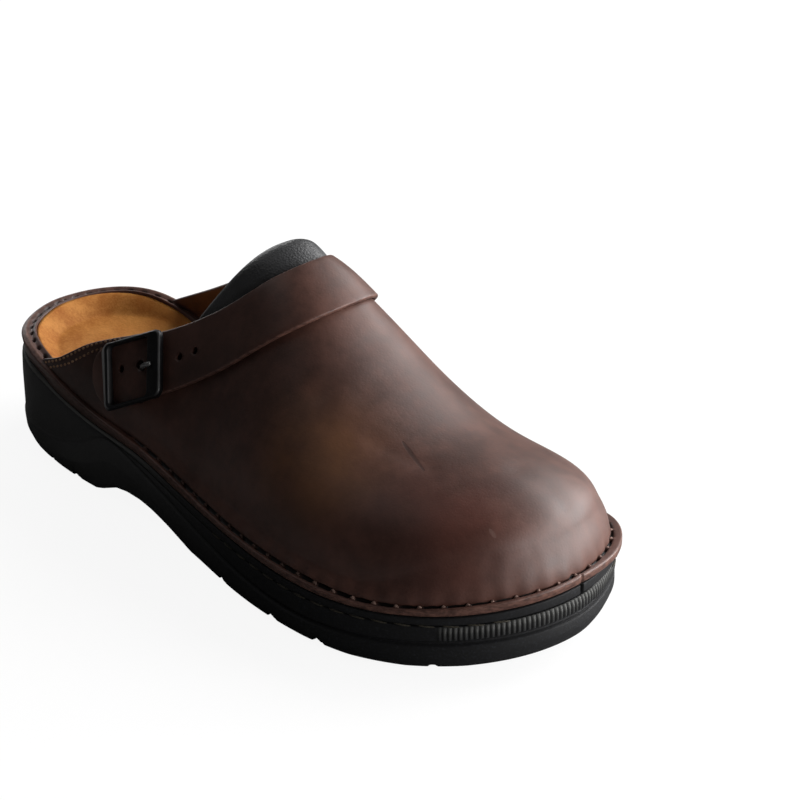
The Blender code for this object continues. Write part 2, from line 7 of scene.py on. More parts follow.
import bmesh
import bpy
import numpy as np
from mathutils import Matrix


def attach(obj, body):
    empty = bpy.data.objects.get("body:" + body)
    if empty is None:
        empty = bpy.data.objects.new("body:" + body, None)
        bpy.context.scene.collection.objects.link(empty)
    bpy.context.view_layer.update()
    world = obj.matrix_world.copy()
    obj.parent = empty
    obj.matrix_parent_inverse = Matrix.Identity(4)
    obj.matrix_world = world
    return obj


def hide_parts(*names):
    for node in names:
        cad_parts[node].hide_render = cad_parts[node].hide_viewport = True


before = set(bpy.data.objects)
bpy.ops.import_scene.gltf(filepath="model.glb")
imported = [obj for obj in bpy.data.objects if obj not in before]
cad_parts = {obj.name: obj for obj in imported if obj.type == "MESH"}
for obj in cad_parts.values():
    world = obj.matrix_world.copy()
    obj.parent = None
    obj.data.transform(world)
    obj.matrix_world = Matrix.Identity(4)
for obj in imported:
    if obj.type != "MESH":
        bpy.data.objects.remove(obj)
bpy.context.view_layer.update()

# %% [markdown]
# A shoe is drawn from a few lines, kept here in short tables of millimetres, with x from the back of the
# heel to the toe, y towards the inner side and z up from the floor. OUTLINE is the plan of the sole, TREAD
# its underside, SIDE the layers of its edge. WELT says how high the welt rises and how far in its stitches
# lie, LAST where the upper would stand before it is drawn out to the welt. A natural cubic runs through
# each table but TREAD, because bent leather and lasted edges have no kinks; TREAD is straight between its
# points.

# %% Lines of the shoe
MM = 0.001
SOLE_LENGTH = 280.0
PLACE = np.array([-140.0, 0.0, 0.0])
UP = np.array([0.0, 0.0, 1.0])


def table(columns, *rows):
    """A small table: column names in one string, then one row per section."""
    return dict(zip(columns.split(), np.array(rows, float).T))


def spline(x, knots, values):
    """Natural cubic through the knots: bends match at every knot and vanish at both ends; outside them the
    end values hold."""
    h, n = np.diff(knots), len(knots)
    inner = np.arange(1, n - 1)
    matrix, right = np.eye(n), np.zeros(n)
    matrix[inner, inner - 1], matrix[inner, inner] = h[:-1], 2 * (h[:-1] + h[1:])
    matrix[inner, inner + 1] = h[1:]
    right[inner] = 6 * np.diff(np.diff(values) / h)
    bend = np.linalg.solve(matrix, right)
    x = np.clip(x, knots[0], knots[-1])
    k = np.clip(np.searchsorted(knots, x) - 1, 0, n - 2)
    d = (x - knots[k]) / h[k]
    e = 1 - d
    straight = e * values[k] + d * values[k + 1]
    return straight + h[k] ** 2 / 6 * ((e**3 - e) * bend[k] + (d**3 - d) * bend[k + 1])


def along(rows, column, x):
    """One column of a table, read at x."""
    return spline(x, rows["x"], rows[column])


def ease(value, low, high):
    """Smooth step: 0 at low, 1 at high, flat at both."""
    s = np.clip((value - low) / (high - low), 0, 1)
    return s * s * (3 - 2 * s)


OUTLINE = table(
    "x lateral medial",
    (28, 35.6, 35.0), (62, 39.4, 39.8), (112, 42.4, 39.6), (154, 50.0, 45.5),
    (190, 55.8, 55.3), (224, 54.3, 55.9), (252, 43.9, 48.5),
)
END_RADII = {-1: (47.5, 50.0), 1: (46.0, 57.0)}
TREAD = table(
    "x z",
    (0, 5.0), (6, 2.0), (14, 0), (70, 0), (74, 1.2), (78, 2.9), (83, 5.0), (90, 6.0), (99, 6.0), (106, 5.2),
    (119, 2.8), (127, 1.2), (134, 0), (205, 0), (225, 0.5), (245, 2.2), (262, 4.7), (280, 8.2),
)
SIDE = table(
    "x midsole layer wall step band",
    (0, 38.0, 1.2, 11.0, 0.0, 0.3), (26, 37.7, 1.2, 11.0, 0.0, 0.3), (40, 35.6, 1.2, 11.4, 0.1, 0.2),
    (50, 33.0, 1.2, 12.6, 0.5, 0.0), (62, 30.2, 1.2, 16.4, 1.0, -0.3), (72, 28.4, 1.2, 21.6, 1.2, -0.4),
    (80, 27.5, 1.3, 25.0, 1.2, -0.3), (88, 26.9, 1.6, 24.0, 1.3, -0.1), (100, 25.8, 2.2, 20.4, 1.4, 0.1),
    (115, 23.4, 2.9, 16.6, 1.5, 0.2), (130, 21.5, 3.3, 13.3, 1.5, 0.2), (160, 20.2, 3.5, 9.5, 1.6, 0.2),
    (188, 19.8, 3.5, 8.0, 1.6, 0.2), (205, 19.6, 3.4, 7.9, 1.6, 0.2), (225, 20.1, 3.1, 9.0, 1.6, 0.2),
    (245, 21.8, 3.1, 11.2, 1.6, 0.2), (262, 24.4, 3.5, 13.8, 1.6, 0.2), (280, 28.2, 4.0, 17.0, 1.6, 0.2),
)
WELT = table(
    "x rise inset",
    (0, 8.9, 1.5), (26, 8.4, 1.5), (36, 6.7, 1.6), (50, 5.8, 1.9), (66, 4.8, 2.2), (82, 4.2, 2.6),
    (100, 3.8, 3.0), (130, 3.7, 3.0), (160, 2.9, 3.0), (205, 3.2, 3.0), (225, 2.6, 3.0), (245, 2.7, 3.0),
    (262, 3.4, 3.0), (280, 3.3, 3.0),
)
LAST = table(
    "x base inset",
    (0, 46.9, 1.5), (24, 46.3, 1.5), (36, 43.0, 1.6), (50, 39.0, 1.9), (66, 37.0, 2.4), (100, 32.6, 3.6),
    (130, 28.0, 4.8), (160, 24.5, 5.5), (188, 23.0, 5.6), (205, 22.9, 5.6), (225, 23.9, 5.7),
    (245, 26.1, 5.7), (262, 28.7, 5.8), (280, 32.0, 5.8),
)


def tread_z(x):
    """Underside of the sole over the floor: straight between the table's points."""
    return np.interp(x, TREAD["x"], TREAD["z"])


def midsole_top(x):
    """Top of the midsole over the floor."""
    return along(SIDE, "midsole", x)


def welt_rise(x):
    """How far the welt stands over the midsole."""
    return along(WELT, "rise", x)


def welt_top(x):
    """Top of the welt: the midsole's top plus the rise."""
    return midsole_top(x) + welt_rise(x)


def turn_at(x):
    """Turn t of the outline at x: x = L (1 - cos(pi t)) / 2, solved for t."""
    return np.arccos(1 - 2 * np.asarray(x, float) / SOLE_LENGTH) / np.pi


def unit(vectors):
    """Vectors drawn to a length of 1; one of no length stays so."""
    return vectors / np.maximum(np.linalg.norm(vectors, axis=-1, keepdims=True), 1e-12)


def outline(t, side):
    """Plan outline of the sole: x = L (1 - cos(pi t)) / 2 and y = side * sin(pi t) * girth(t), so both ends
    are round. The girth is a cubic through the table's half-widths and the radii of both ends."""
    turn = turn_at(OUTLINE["x"])
    ends = np.sqrt(np.array(END_RADII[side]) * SOLE_LENGTH / 2)
    widths = OUTLINE["lateral" if side < 0 else "medial"]
    girth = np.concatenate([ends[:1], widths / np.sin(np.pi * turn), ends[1:]])
    y = np.sin(np.pi * t) * spline(t, np.concatenate([[0], turn, [1]]), girth)
    return np.stack([SOLE_LENGTH * (1 - np.cos(np.pi * t)) / 2, side * y], -1)


def outward(t, side):
    """Unit vector square to the outline, away from the sole."""
    step = outline(t + 1e-4, side) - outline(t - 1e-4, side)
    return unit(np.stack([-step[..., 1], step[..., 0]], -1) * side)


print("welt top", np.round(welt_top(np.array([0, SOLE_LENGTH])), 1), "mm over the floor at heel and toe")


# %% [markdown]
# Every layer of the sole is a set of closed rails: the outline moved in or out, at some height. The
# points stand closest together at the heel's stitch holes and at the ribbed toe, and are wider apart
# along the plain sides. Sharp corners of a section are cut into three rows to make soft edges.

# %% Rails round the sole
GROOVES_ACROSS = np.array([41, 58, 158, 189, 212.0])
TOE_NOTCHES = np.array([254.0])
SPANS = ((0, 42, 130), (42, 251, 190), (251, 280, 300))


def run_along(path):
    """Length of a drawn line up to each of its points."""
    return np.concatenate([[0], np.cumsum(np.linalg.norm(np.diff(path, axis=0), axis=1))])


def at_run(run, runs, path):
    """Place on a drawn line, run millimetres along it: straight between its points."""
    return np.stack([np.interp(run, runs, column) for column in path.T], -1)


at_grooves = turn_at((GROOVES_ACROSS + np.linspace(-3, 3, 9)[:, None]).ravel())
TURNS = np.concatenate([np.linspace(*turn_at((a, b)), n) for a, b, n in SPANS])
TURNS = np.unique(np.concatenate([TURNS, at_grooves]))
TURNS = TURNS[np.concatenate([[True], np.diff(TURNS) > 1e-5])]
EDGE = np.concatenate([outline(TURNS, -1), outline(TURNS, 1)[-2:0:-1]])
EDGE_OUT = np.concatenate([outward(TURNS, -1), outward(TURNS, 1)[-2:0:-1]])
EDGE_X = EDGE[:, 0]
EDGE_RUN = run_along(EDGE)
TOE_RUN = EDGE_RUN[len(TURNS) - 1]
print(len(EDGE), "points round the sole,", round(EDGE_RUN[-1]), "mm")


def rail(offset, height):
    """Closed rail: outline + offset * outward, with its height a function of x."""
    edge = EDGE + EDGE_OUT * np.broadcast_to(offset, EDGE_X.shape)[:, None]
    return np.column_stack([edge, height(edge[:, 0])])


def soften(rails, radius, ring=False):
    """Round the corners of a section: each corner row becomes one before it, one cut in and one after it."""
    rails = np.stack(rails)
    before, after = np.roll(rails, 1, axis=0) - rails, np.roll(rails, -1, axis=0) - rails

    def pull(step):
        far = np.linalg.norm(step, axis=-1, keepdims=True)
        return step * np.minimum(radius / np.maximum(far, 1e-9), 0.4)

    first, last = rails + pull(before), rails + pull(after)
    rows = np.stack([first, (first + 2 * rails + last) / 4, last], 1).reshape(-1, *rails.shape[1:])
    return rows if ring else np.concatenate([rails[:1], rows[3:-3], rails[-1:]])


def filled(closed_rail, shares):
    """Rows that fill a closed rail: the rail again, drawn in across the shoe to each share of its width."""
    return closed_rail * np.where([True, False, True], 1.0, np.array(shares)[:, None, None])


# %% [markdown]
# A piece is a grid of points, four-sided faces between them and a finish. Points that fall together, as at
# the end of a rod, are welded, and the faces are turned outwards. A mark is one number per point, such as how
# much of a cut edge shows its fibre, where a highlight is painted or how much shade is painted into a
# channel: a finish reads it by its name.

# %% From points to pieces
WELD = 3e-6


def grid_faces(rows, columns, join_rows=False, join_columns=False):
    """Four-sided faces of a grid of points, row after row, joined end to end where asked."""
    i = np.arange(rows if join_rows else rows - 1)[:, None]
    j = np.arange(columns if join_columns else columns - 1)[None, :]
    up, right = (i + 1) % rows * columns, (j + 1) % columns
    here = i * columns
    return np.stack(np.broadcast_arrays(here + j, here + right, up + right, up + j), -1).reshape(-1, 4)


def round_faces(rings, join_rows=False):
    """Faces of rings that close on themselves; with join_rows the last ring meets the first."""
    return grid_faces(*rings.shape[:2], join_rows, True)


def mesh_of(name, points, faces, **marks):
    """Mesh in metres from points in millimetres, welded, with its faces turned outwards."""
    mesh = bpy.data.meshes.new(name)
    mesh.from_pydata(((points.reshape(-1, 3) + PLACE) * MM).tolist(), [], faces.tolist())
    for mark, values in marks.items():
        mesh.attributes.new(mark, "FLOAT", "POINT").data.foreach_set("value", np.ravel(values))
    shape = bmesh.new()
    shape.from_mesh(mesh)
    bmesh.ops.remove_doubles(shape, verts=shape.verts, dist=WELD)
    bmesh.ops.recalc_face_normals(shape, faces=shape.faces)
    shape.to_mesh(mesh)
    shape.free()
    return mesh


def stand(name, data):
    """Object for a mesh, lamp or camera, at the origin of the scene."""
    made = bpy.data.objects.new(name, data)
    bpy.context.scene.collection.objects.link(made)
    return made


def sew(name, points, faces, finish, slot, stands_for=(), **marks):
    """One piece of the shoe: its mesh with a finish, in the place of the solids that it stands for."""
    mesh = mesh_of(name, points, faces, **marks)
    mesh.polygons.foreach_set("use_smooth", np.ones(len(mesh.polygons), bool))
    mesh.materials.append(finish)
    piece = stand(name, mesh)
    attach(piece, "root")
    if stands_for:
        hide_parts(*stands_for)
    print(name, len(mesh.vertices), "points", len(mesh.polygons), "faces")
    return piece


# %% [markdown]
# A finish is a small tree of shader nodes. The two classes below let it be written as sums: a Signal is
# one number flowing through the tree, and arithmetic on it adds Math nodes. All patterns are read in
# the shoe's own coordinates, so they stay with the leather from every side.

# %% Shader arithmetic
class Signal:
    """A socket that can be added to, multiplied and compared."""

    def __init__(self, finish, socket):
        self.finish, self.socket = finish, socket

    def math(self, operation, *values):
        """One Math node."""
        return self.finish.node("ShaderNodeMath", {"operation": operation}, dict(enumerate(values)))

    def __add__(self, other):
        return self.math("ADD", self, other)

    def __radd__(self, other):
        return self.math("ADD", other, self)

    def __sub__(self, other):
        return self.math("SUBTRACT", self, other)

    def __rsub__(self, other):
        return self.math("SUBTRACT", other, self)

    def __mul__(self, other):
        return self.math("MULTIPLY", self, other)

    def __rmul__(self, other):
        return self.math("MULTIPLY", other, self)

    def step(self, low, high):
        """Smooth step from 0 at low to 1 at high."""
        sockets = {"Value": self, "From Min": low, "From Max": high}
        return self.finish.node("ShaderNodeMapRange", {"interpolation_type": "SMOOTHSTEP"}, sockets)


class Finish:
    """A material under construction around one Principled shader."""

    def __init__(self, name, **constants):
        self.material = bpy.data.materials.new(name)
        self.material.use_nodes = True
        self.tree = self.material.node_tree
        self.shader = self.tree.nodes["Principled BSDF"]
        for socket, value in constants.items():
            self.shader.inputs[socket.replace("_", " ")].default_value = value
        self.where = self.node("ShaderNodeTexCoord", output="Object")

    def plug(self, socket, value):
        """Link a signal into a socket, or set a plain value on it."""
        if isinstance(value, Signal):
            self.tree.links.new(value.socket, socket)
        else:
            socket.default_value = value

    def node(self, kind, settings={}, sockets={}, output=0):
        """Any node: its settings first, then the values or links of its sockets."""
        made = self.tree.nodes.new(kind)
        for name, value in settings.items():
            setattr(made, name, value)
        for name, value in sockets.items():
            self.plug(made.inputs[name], value)
        return Signal(self, made.outputs[output])

    def mix(self, amount, first, second):
        """Colour from first to second by an amount from 0 to 1."""
        sockets = {0: amount, 6: first, 7: second}
        return self.node("ShaderNodeMix", {"data_type": "RGBA"}, sockets, 2)

    def noise(self, size, detail=3.0, stretch=(1, 1, 1), rough=0.55):
        """Soft clouds about size millimetres across, from 0 to 1, drawn out by stretch."""
        scaled = self.node("ShaderNodeVectorMath", {"operation": "MULTIPLY"}, {0: self.where, 1: stretch})
        sockets = {"Vector": scaled, "Scale": 1000 / size, "Detail": detail, "Roughness": rough}
        return self.node("ShaderNodeTexNoise", {}, sockets)

    def cells(self, size):
        """Distance to the nearest of many scattered points about size millimetres apart."""
        return self.node("ShaderNodeTexVoronoi", {}, {"Vector": self.where, "Scale": 1000 / size})

    def far_from(self, place):
        """Distance in metres to a place of the shoe that is given in millimetres."""
        sockets = {0: self.where, 1: tuple((np.array(place) + PLACE) * MM)}
        return self.node("ShaderNodeVectorMath", {"operation": "DISTANCE"}, sockets, "Value")

    def near(self, place, reach):
        """1 at a place of the shoe, falling to 0 at reach millimetres."""
        return self.far_from(place).step(reach * MM, 0)

    def streak(self, start, end, width):
        """1 on a thin ellipse between two places: there both distances add up to about its length."""
        length = float(np.linalg.norm(np.subtract(start, end))) * MM
        both = self.far_from(start) + self.far_from(end)
        return (both - length).step(2 * (width * MM) ** 2 / length, 0)

    def attribute(self, name):
        """A mark of the piece, by its name."""
        return self.node("ShaderNodeAttribute", {"attribute_name": name}, {}, "Fac")

    def relief(self, height, depth):
        """Bump of depth millimetres from a height of 0 to 1."""
        return self.node("ShaderNodeBump", {}, {"Height": height, "Strength": 1.0, "Distance": depth * MM})

    def done(self, **inputs):
        """Feed the shader what changes over the surface, and hand over the material."""
        for socket, value in inputs.items():
            self.plug(self.shader.inputs[socket.replace("_", " ")], value)
        return self.material


def tint(red, green, blue):
    """Colour as light: each channel of a screen colour (0 to 255) turned to its share of light."""
    c = np.array([red, green, blue]) / 255
    return (*np.where(c < 0.04045, c / 12.92, ((c + 0.055) / 1.055) ** 2.4), 1)


# %% [markdown]
# The upper, strap and welt are oiled leather of the pull-up kind: wax sinks in unevenly, so the brown
# drifts between umber, red and amber, and rubbed places turn paler. Cut edges show the redder fibre. Clouds
# of noise of several sizes give that drift. Stains, scuffs and darker patches are listed one by one at their
# places; some of the darker ones are painted shade: low on the outer side above the welt, on the outer part
# of the strap and along a crease of the vamp.

# %% Brown leather
def brown_leather(name, patches=(), scuffs_and_crease_shade=(), fibre=False):
    """Oiled leather: two clouds mix the browns, then come stains and patches of painted shade, rubbed spots,
    scuffs and the painted shade of a crease, then cut edges with fibre, a painted highlight on the welt's
    heel rim and painted shade in the welt's channel. A patch is (place, reach, colour, amount), a scuff or
    crease shade (start, end, width, colour, amount), in millimetres."""
    leather = Finish(name, Specular_IOR_Level=0.45, Coat_Roughness=0.32)
    cloud = leather.noise(42, 4)
    fine = leather.noise(7, 4, rough=0.65)
    colour = leather.mix((cloud * 0.55 + fine * 0.45).step(0.32, 0.68), tint(68, 44, 37), tint(97, 64, 54))
    drift = leather.noise(16, 4, rough=0.6).step(0.25, 0.75) * 0.8 + 0.45
    for place, reach, mark_colour, amount in patches:
        colour = leather.mix(leather.near(place, reach) * drift * amount, colour, tint(*mark_colour))
    rubbed_and_highlit = leather.noise(2.2, 2, (1, 0.25, 1)).step(0.66, 0.8) * cloud.step(0.45, 0.75)
    colour = leather.mix(rubbed_and_highlit * 0.25, colour, tint(128, 100, 90))
    uneven = leather.noise(15, 3, (0.6, 1, 1)) * 5.0 + fine * 1.2
    grain = leather.cells(1.1).step(0.05, 0.6) * 0.5 + leather.noise(0.5, 2) * 0.5 + uneven
    # A scuff darkens or pales a line and sinks the grain; the dark one on the vamp is a crease's painted
    # shade.
    for start, end, width, mark_colour, amount in scuffs_and_crease_shade:
        scuff_and_shade = leather.streak(start, end, width) * amount
        colour = leather.mix(scuff_and_shade, colour, tint(*mark_colour))
        grain = grain - scuff_and_shade * 2.0
    if fibre:
        # One mark gives cut edges their fibre and also paints a highlight on the welt's heel rim; the other
        # mark darkens the welt's channel and stitch holes as painted shade.
        raw, dirt = leather.attribute("raw"), leather.attribute("dirt")
        nap = leather.noise(1.2, 4, (0.35, 0.35, 1), 0.75)
        fluff = leather.mix(nap.step(0.3, 0.7), tint(62, 37, 30), tint(122, 86, 74))
        colour = leather.mix(raw, colour, fluff)
        colour = leather.mix(dirt, colour, tint(20, 12, 10))
        grain = grain + raw * nap * 1.6
    return leather.done(
        Base_Color=colour,
        Roughness=0.40 + fine * 0.14 + cloud * 0.08 + rubbed_and_highlit * 0.1,
        Coat_Weight=cloud.step(0.35, 0.75) * 0.18,
        Normal=leather.relief(grain, 0.025),
    )


AMBER, RED, DARK, RUST = (138, 93, 62), (114, 65, 55), (44, 30, 27), (44, 21, 13)
UPPER_PATCHES = (
    ((190, -35.4, 58.1), 36, AMBER, 0.6),
    ((201, -37, 54), 22, AMBER, 0.35),
    ((248, -29, 48), 36, RED, 0.55),
    ((236, -39.6, 44.5), 22, DARK, 0.35),
    ((182.6, -10.7, 77.6), 26, DARK, 0.5),
    ((260.3, 3.2, 56.1), 18, DARK, 0.3),
    # The next two darker patches are painted shade, low on the outer side above the welt.
    ((241.8, -40.9, 38.9), 18, DARK, 0.4),
    ((190, -48, 34), 26, DARK, 0.4),
    ((52, -33, 42), 36, RUST, 0.95),
)
UPPER_SCUFFS_AND_CREASE_SHADE = (
    # The first is painted shade along a crease of the vamp, with a groove pressed into the grain; the other
    # two are pale scratches.
    ((211.5, -14.0, 62.7), (226.5, -18.2, 58.4), 1.15, (40, 26, 23), 0.6),
    ((259.4, -21.6, 50.6), (262.2, -21.6, 48.4), 0.9, (150, 124, 116), 0.2),
    ((231, -6, 62.5), (236, -9.5, 60.0), 0.5, (120, 92, 82), 0.4),
)
# The strap's second, darker patch is painted shade on its outer part between the buckle and the instep.
STRAP_PATCHES = (((75, -39, 47), 15, (118, 90, 82), 0.5), ((117, -33, 68), 28, DARK, 0.7))
WELT_PATCHES = (((62, -40, 36), 36, RUST, 0.8),)
UPPER_LEATHER = brown_leather("upper_brown_leather", UPPER_PATCHES, UPPER_SCUFFS_AND_CREASE_SHADE)
STRAP_LEATHER = brown_leather("strap_brown_leather", STRAP_PATCHES, fibre=True)
WELT_LEATHER = brown_leather("welt_brown_leather", WELT_PATCHES, fibre=True)
print("leathers:", UPPER_LEATHER.name, STRAP_LEATHER.name, WELT_LEATHER.name)

# %% [markdown]
# The footbed is vegetable-tanned hide left matt, with a faint nap. The throat pad is soft black grain
# leather. The sole is moulded rubber, satin and a little mottled. The buckle is steel with a dark coat. All
# are a few clouds of noise over plain colours, which stay sharp from near, as a picture would not. Light is
# painted on some: on the footbed in the pad's shade, on the sole's outer heel, rib crests and midsole edge,
# and on the buckle's tail-end bar.

# %% Other finishes
bed = Finish("footbed_tan_leather", Specular_IOR_Level=0.25)
mottle, nap = bed.noise(9, 5, rough=0.6), bed.noise(0.9, 3)
hide = bed.mix((mottle * 0.7 + nap * 0.3).step(0.3, 0.7), tint(172, 100, 36), tint(212, 145, 72))
# Painted light: the bed round the front of the heel cup is lightened, where the pad and strap shade it.
hide = bed.mix(bed.near((72, 26, 42), 60) * 0.9, hide, tint(240, 165, 80))
TAN_LEATHER = bed.done(
    Base_Color=hide,
    Roughness=0.62 + nap * 0.2,
    Normal=bed.relief(nap + mottle * 0.6, 0.12),
)

pad = Finish("pad_black_leather", Specular_IOR_Level=0.5)
pebble = pad.cells(0.9).step(0.1, 0.75)
wear = pad.noise(14, 3)
PAD_LEATHER = pad.done(
    Base_Color=pad.mix(wear, tint(36, 36, 36), tint(78, 78, 80)),
    Roughness=0.34 + wear * 0.2,
    Normal=pad.relief(1 - pebble + pad.noise(0.6, 2) * 0.3, 0.07),
)

sole = Finish("sole_black_rubber", Specular_IOR_Level=0.15)
speck = sole.noise(0.9, 4, rough=0.7)
bloom = sole.noise(30, 3)
black = sole.mix(speck.step(0.5, 0.75) * bloom, tint(34, 34, 35), tint(58, 60, 66))
# Painted light: the rubber is lightened round the outer heel and the arch.
black = sole.mix(sole.near((66, -38, 16), 125) * 0.9, black, tint(72, 72, 72))
# Painted highlight: the mark greys the crests of the toe ribs and the midsole's edge from the heel to the
# arch.
SOLE_RUBBER = sole.done(
    Base_Color=sole.mix(sole.attribute("raw"), black, tint(90, 90, 88)),
    Roughness=0.52 + speck * 0.2,
    Normal=sole.relief(speck, 0.10),
)

coat = Finish("buckle_black_metal", Specular_IOR_Level=0.6, Metallic=0.85)
smear = coat.noise(5, 4, rough=0.65)
dark_coat = coat.mix(smear, tint(34, 34, 35), tint(58, 58, 60))
# Bare steel where the coat is worn off, with a painted highlight strongest on the tail-end bar.
bare_and_highlit_metal = coat.attribute("raw") * (0.45 + smear * 0.7)
BUCKLE_METAL = coat.done(
    Base_Color=coat.mix(bare_and_highlit_metal, dark_coat, tint(150, 150, 150)),
    Roughness=0.36 + smear * 0.2,
    Normal=coat.relief(coat.noise(0.8, 3), 0.03),
)


def twine(name, dark, light, outer_side_shade=0.0):
    """Waxed thread. The last argument darkens it along the shoe's outer side, as painted shade on the side
    away from the lamps.
    """
    thread = Finish(name, Specular_IOR_Level=0.3)
    strand = thread.noise(0.5, 3, (1, 1, 2.5))
    colour = thread.mix(strand.step(0.3, 0.7), tint(*dark), tint(*light))
    colour = thread.mix(thread.near((140, -50, 28), 105).step(0, 0.5) * outer_side_shade, colour, tint(44, 29, 24))
    return thread.done(
        Base_Color=colour,
        Roughness=0.55 + strand * 0.3,
        Normal=thread.relief(strand, 0.15),
    )


WELT_TWINE = twine("welt_twine", (96, 72, 64), (160, 132, 121), 0.85)
SOLE_TWINE = twine("sole_twine", (34, 32, 28), (76, 71, 60))
QUARTER_TWINE = twine("quarter_twine", (124, 92, 70), (178, 142, 114))
print("twines:", WELT_TWINE.name, SOLE_TWINE.name, QUARTER_TWINE.name)

# %% [markdown]
# The outsole is one moulded block. Its section climbs from the tread over a bulging lower wall, steps in
# at a groove and ends in a plain band, which turns to upright ribs round the toe. Grooves across the
# tread lift the lowest rows of the wall, so the lugs show at the side as they do on the real sole. They
# could be cut with Booleans, but lifted rows keep the faces even along the edge.

# %% Outsole
def outsole_top(x):
    """Top of the outsole: the midsole's top less its thickness."""
    return midsole_top(x) - along(SIDE, "layer", x)


def wall_top(x):
    """Top of the bulging lower wall, always a little under the outsole's top."""
    return np.minimum(along(SIDE, "wall", x), outsole_top(x) - 0.6)


def groove(x, up):
    """Height up the stepped groove: full size along the sides, squeezed where the wall climbs."""
    return wall_top(x) + up * np.clip((outsole_top(x) - wall_top(x)) / 4.2, 0.1, 1)


RIB_PITCH, RIB_DEPTH = 1.75, 0.7
NOTCH_HALF, GROOVE_HALF = 1.8, 2.3
GROOVE_DEPTH, EDGE_DEPTH, PATTERN_DEPTH = 2.0, 1.6, 0.5
step, band = along(SIDE, "step", EDGE_X), along(SIDE, "band", EDGE_X)
ribbed = ease(EDGE_X, 254.5, 257.5)
rib = RIB_DEPTH * ribbed * (0.5 - 0.5 * np.cos(2 * np.pi * (EDGE_RUN - TOE_RUN) / RIB_PITCH)) ** 0.45
# The wall is tucked in at the inner toe, its foot is let out at the ball and it swells at the heel's knee.
inner_toe = ease(EDGE[:, 1], 0, 26) * ease(EDGE_X, 232, 262)
outer_ball = ease(-EDGE[:, 1], 5, 30) * np.exp(-(((EDGE_X - 165) / 26) ** 2))
tuck = -1.5 * inner_toe
low = 1.0 * outer_ball - 0.8 * inner_toe - 2.2 * (1 - ease(EDGE_X, 15, 66))
knee = np.exp(-(((EDGE_X - 66) / 16) ** 2))
wall = soften(
    [
        rail(tuck + low - 3.0, tread_z),
        rail(tuck + low - 1.2, lambda x: tread_z(x) + 0.5),
        rail(tuck + 0.8 * low + 0.3, lambda x: tread_z(x) + 2.6),
        rail(tuck + 0.35 * low + 1.0 + 1.3 * knee, lambda x: 0.4 * tread_z(x) + 0.6 * wall_top(x)),
        rail(tuck + 0.6 - 0.7 * knee, wall_top),
        rail(tuck + 0.6 - step, lambda x: groove(x, 0.7)),
        rail(tuck + 0.6 - step, lambda x: groove(x, 1.5)),
        rail(tuck + band, lambda x: groove(x, 2.0)),
        rail(tuck + band - 0.1 + rib, lambda x: groove(x, 2.6)),
        rail(tuck + band - 0.1 + rib, lambda x: groove(x, 2.8) * 0.3 + 0.7 * outsole_top(x) - 0.6),
        rail(tuck + band - 0.4 + 0.5 * rib, lambda x: outsole_top(x) - 0.25),
        rail(tuck + band - 1.0, outsole_top),
        rail(-13.0, outsole_top),
    ],
    radius=0.5,
)
under = filled(wall[0], (0, 0.15, 0.3, 0.45, 0.6, 0.75, 0.9))
rows = np.concatenate([under, wall])
lateral_run = EDGE_RUN[: len(TURNS)]
at_notch = np.searchsorted(lateral_run, np.interp(TOE_NOTCHES, EDGE_X[: len(TURNS)], lateral_run))
notch_runs = EDGE_RUN[np.concatenate([at_notch, -at_notch])]
notch = 0.7 * np.exp(-((np.abs(EDGE_RUN[:, None] - notch_runs).min(axis=1) / NOTCH_HALF) ** 4))
across = np.exp(-((np.abs(rows[..., 0, None] - GROOVES_ACROSS).min(axis=-1) / GROOVE_HALF) ** 4))
rim_rows = np.arange(len(rows))[:, None] >= len(under) - 1
pattern = (np.sin(rows[..., 0] * 1.4 + np.abs(rows[..., 1]) * 0.5) > 0.3) & ~rim_rows
lift = (GROOVE_DEPTH + EDGE_DEPTH * rim_rows) * across + GROOVE_DEPTH * notch * rim_rows
rows[..., 2] = np.maximum(rows[..., 2], tread_z(rows[..., 0]) + lift + PATTERN_DEPTH * pattern)
foot = groove(rows[..., 0], 2.3)
up_rib = (rows[..., 2] - foot) / (outsole_top(rows[..., 0]) - foot)
# Painted highlight: the crests of the toe ribs turn grey, most towards their top.
raw = rib / RIB_DEPTH * ((up_rib > 0) & (up_rib < 0.98)) * (0.2 + 0.8 * ease(up_rib, 0.3, 0.8))
sew("outsole_rubber", rows, round_faces(rows), SOLE_RUBBER, "black_rubber", ["outsole"], raw=raw)

# %% [markdown]
# A thin black midsole lies on the outsole. It could be a flat sheet, but its edge shows all round, so it is a
# ring of rails with a softened section. From the heel to the arch its edge stands out a little and is painted
# grey as a highlight.

# %% Midsole
GAP = 0.3
JOINT_RUN = TOE_RUN + 2.4
slit = np.exp(-(((EDGE_RUN - JOINT_RUN) / 0.7) ** 4))
painted_highlight_span = ease(EDGE_X, 14, 34) * (1 - ease(EDGE_X, 90, 125))
edge_in = -0.3 - 0.4 * inner_toe + 0.6 * painted_highlight_span - 2.0 * slit
layer = soften(
    [
        rail(-14.0, lambda x: outsole_top(x) + GAP),
        rail(-0.9, lambda x: outsole_top(x) + GAP),
        rail(edge_in, lambda x: outsole_top(x) + GAP + 0.3),
        rail(edge_in, lambda x: midsole_top(x) - 0.3),
        rail(-0.9, midsole_top),
        rail(-14.0, midsole_top),
    ],
    radius=0.3,
    ring=True,
)
# Painted highlight: the edge is greyed over that span.
raw = np.broadcast_to(0.75 * painted_highlight_span, layer.shape[:2])
sew("midsole_rubber", layer, round_faces(layer, True), SOLE_RUBBER, "black_rubber", ["midsole"], raw=raw)

# %% [markdown]
# The welt is a strip of leather with its two ends butted at the toe, which leaves a narrow slit. A channel is
# cut in its top for the stitches that hold the upper; towards the heel the strip swells into a rim with a row
# of stitch holes, and rim_lift makes that rim higher on the inner side than on the outer one. The section is
# built up from a side, a quarter round and a top, because each of them has marks of its own.

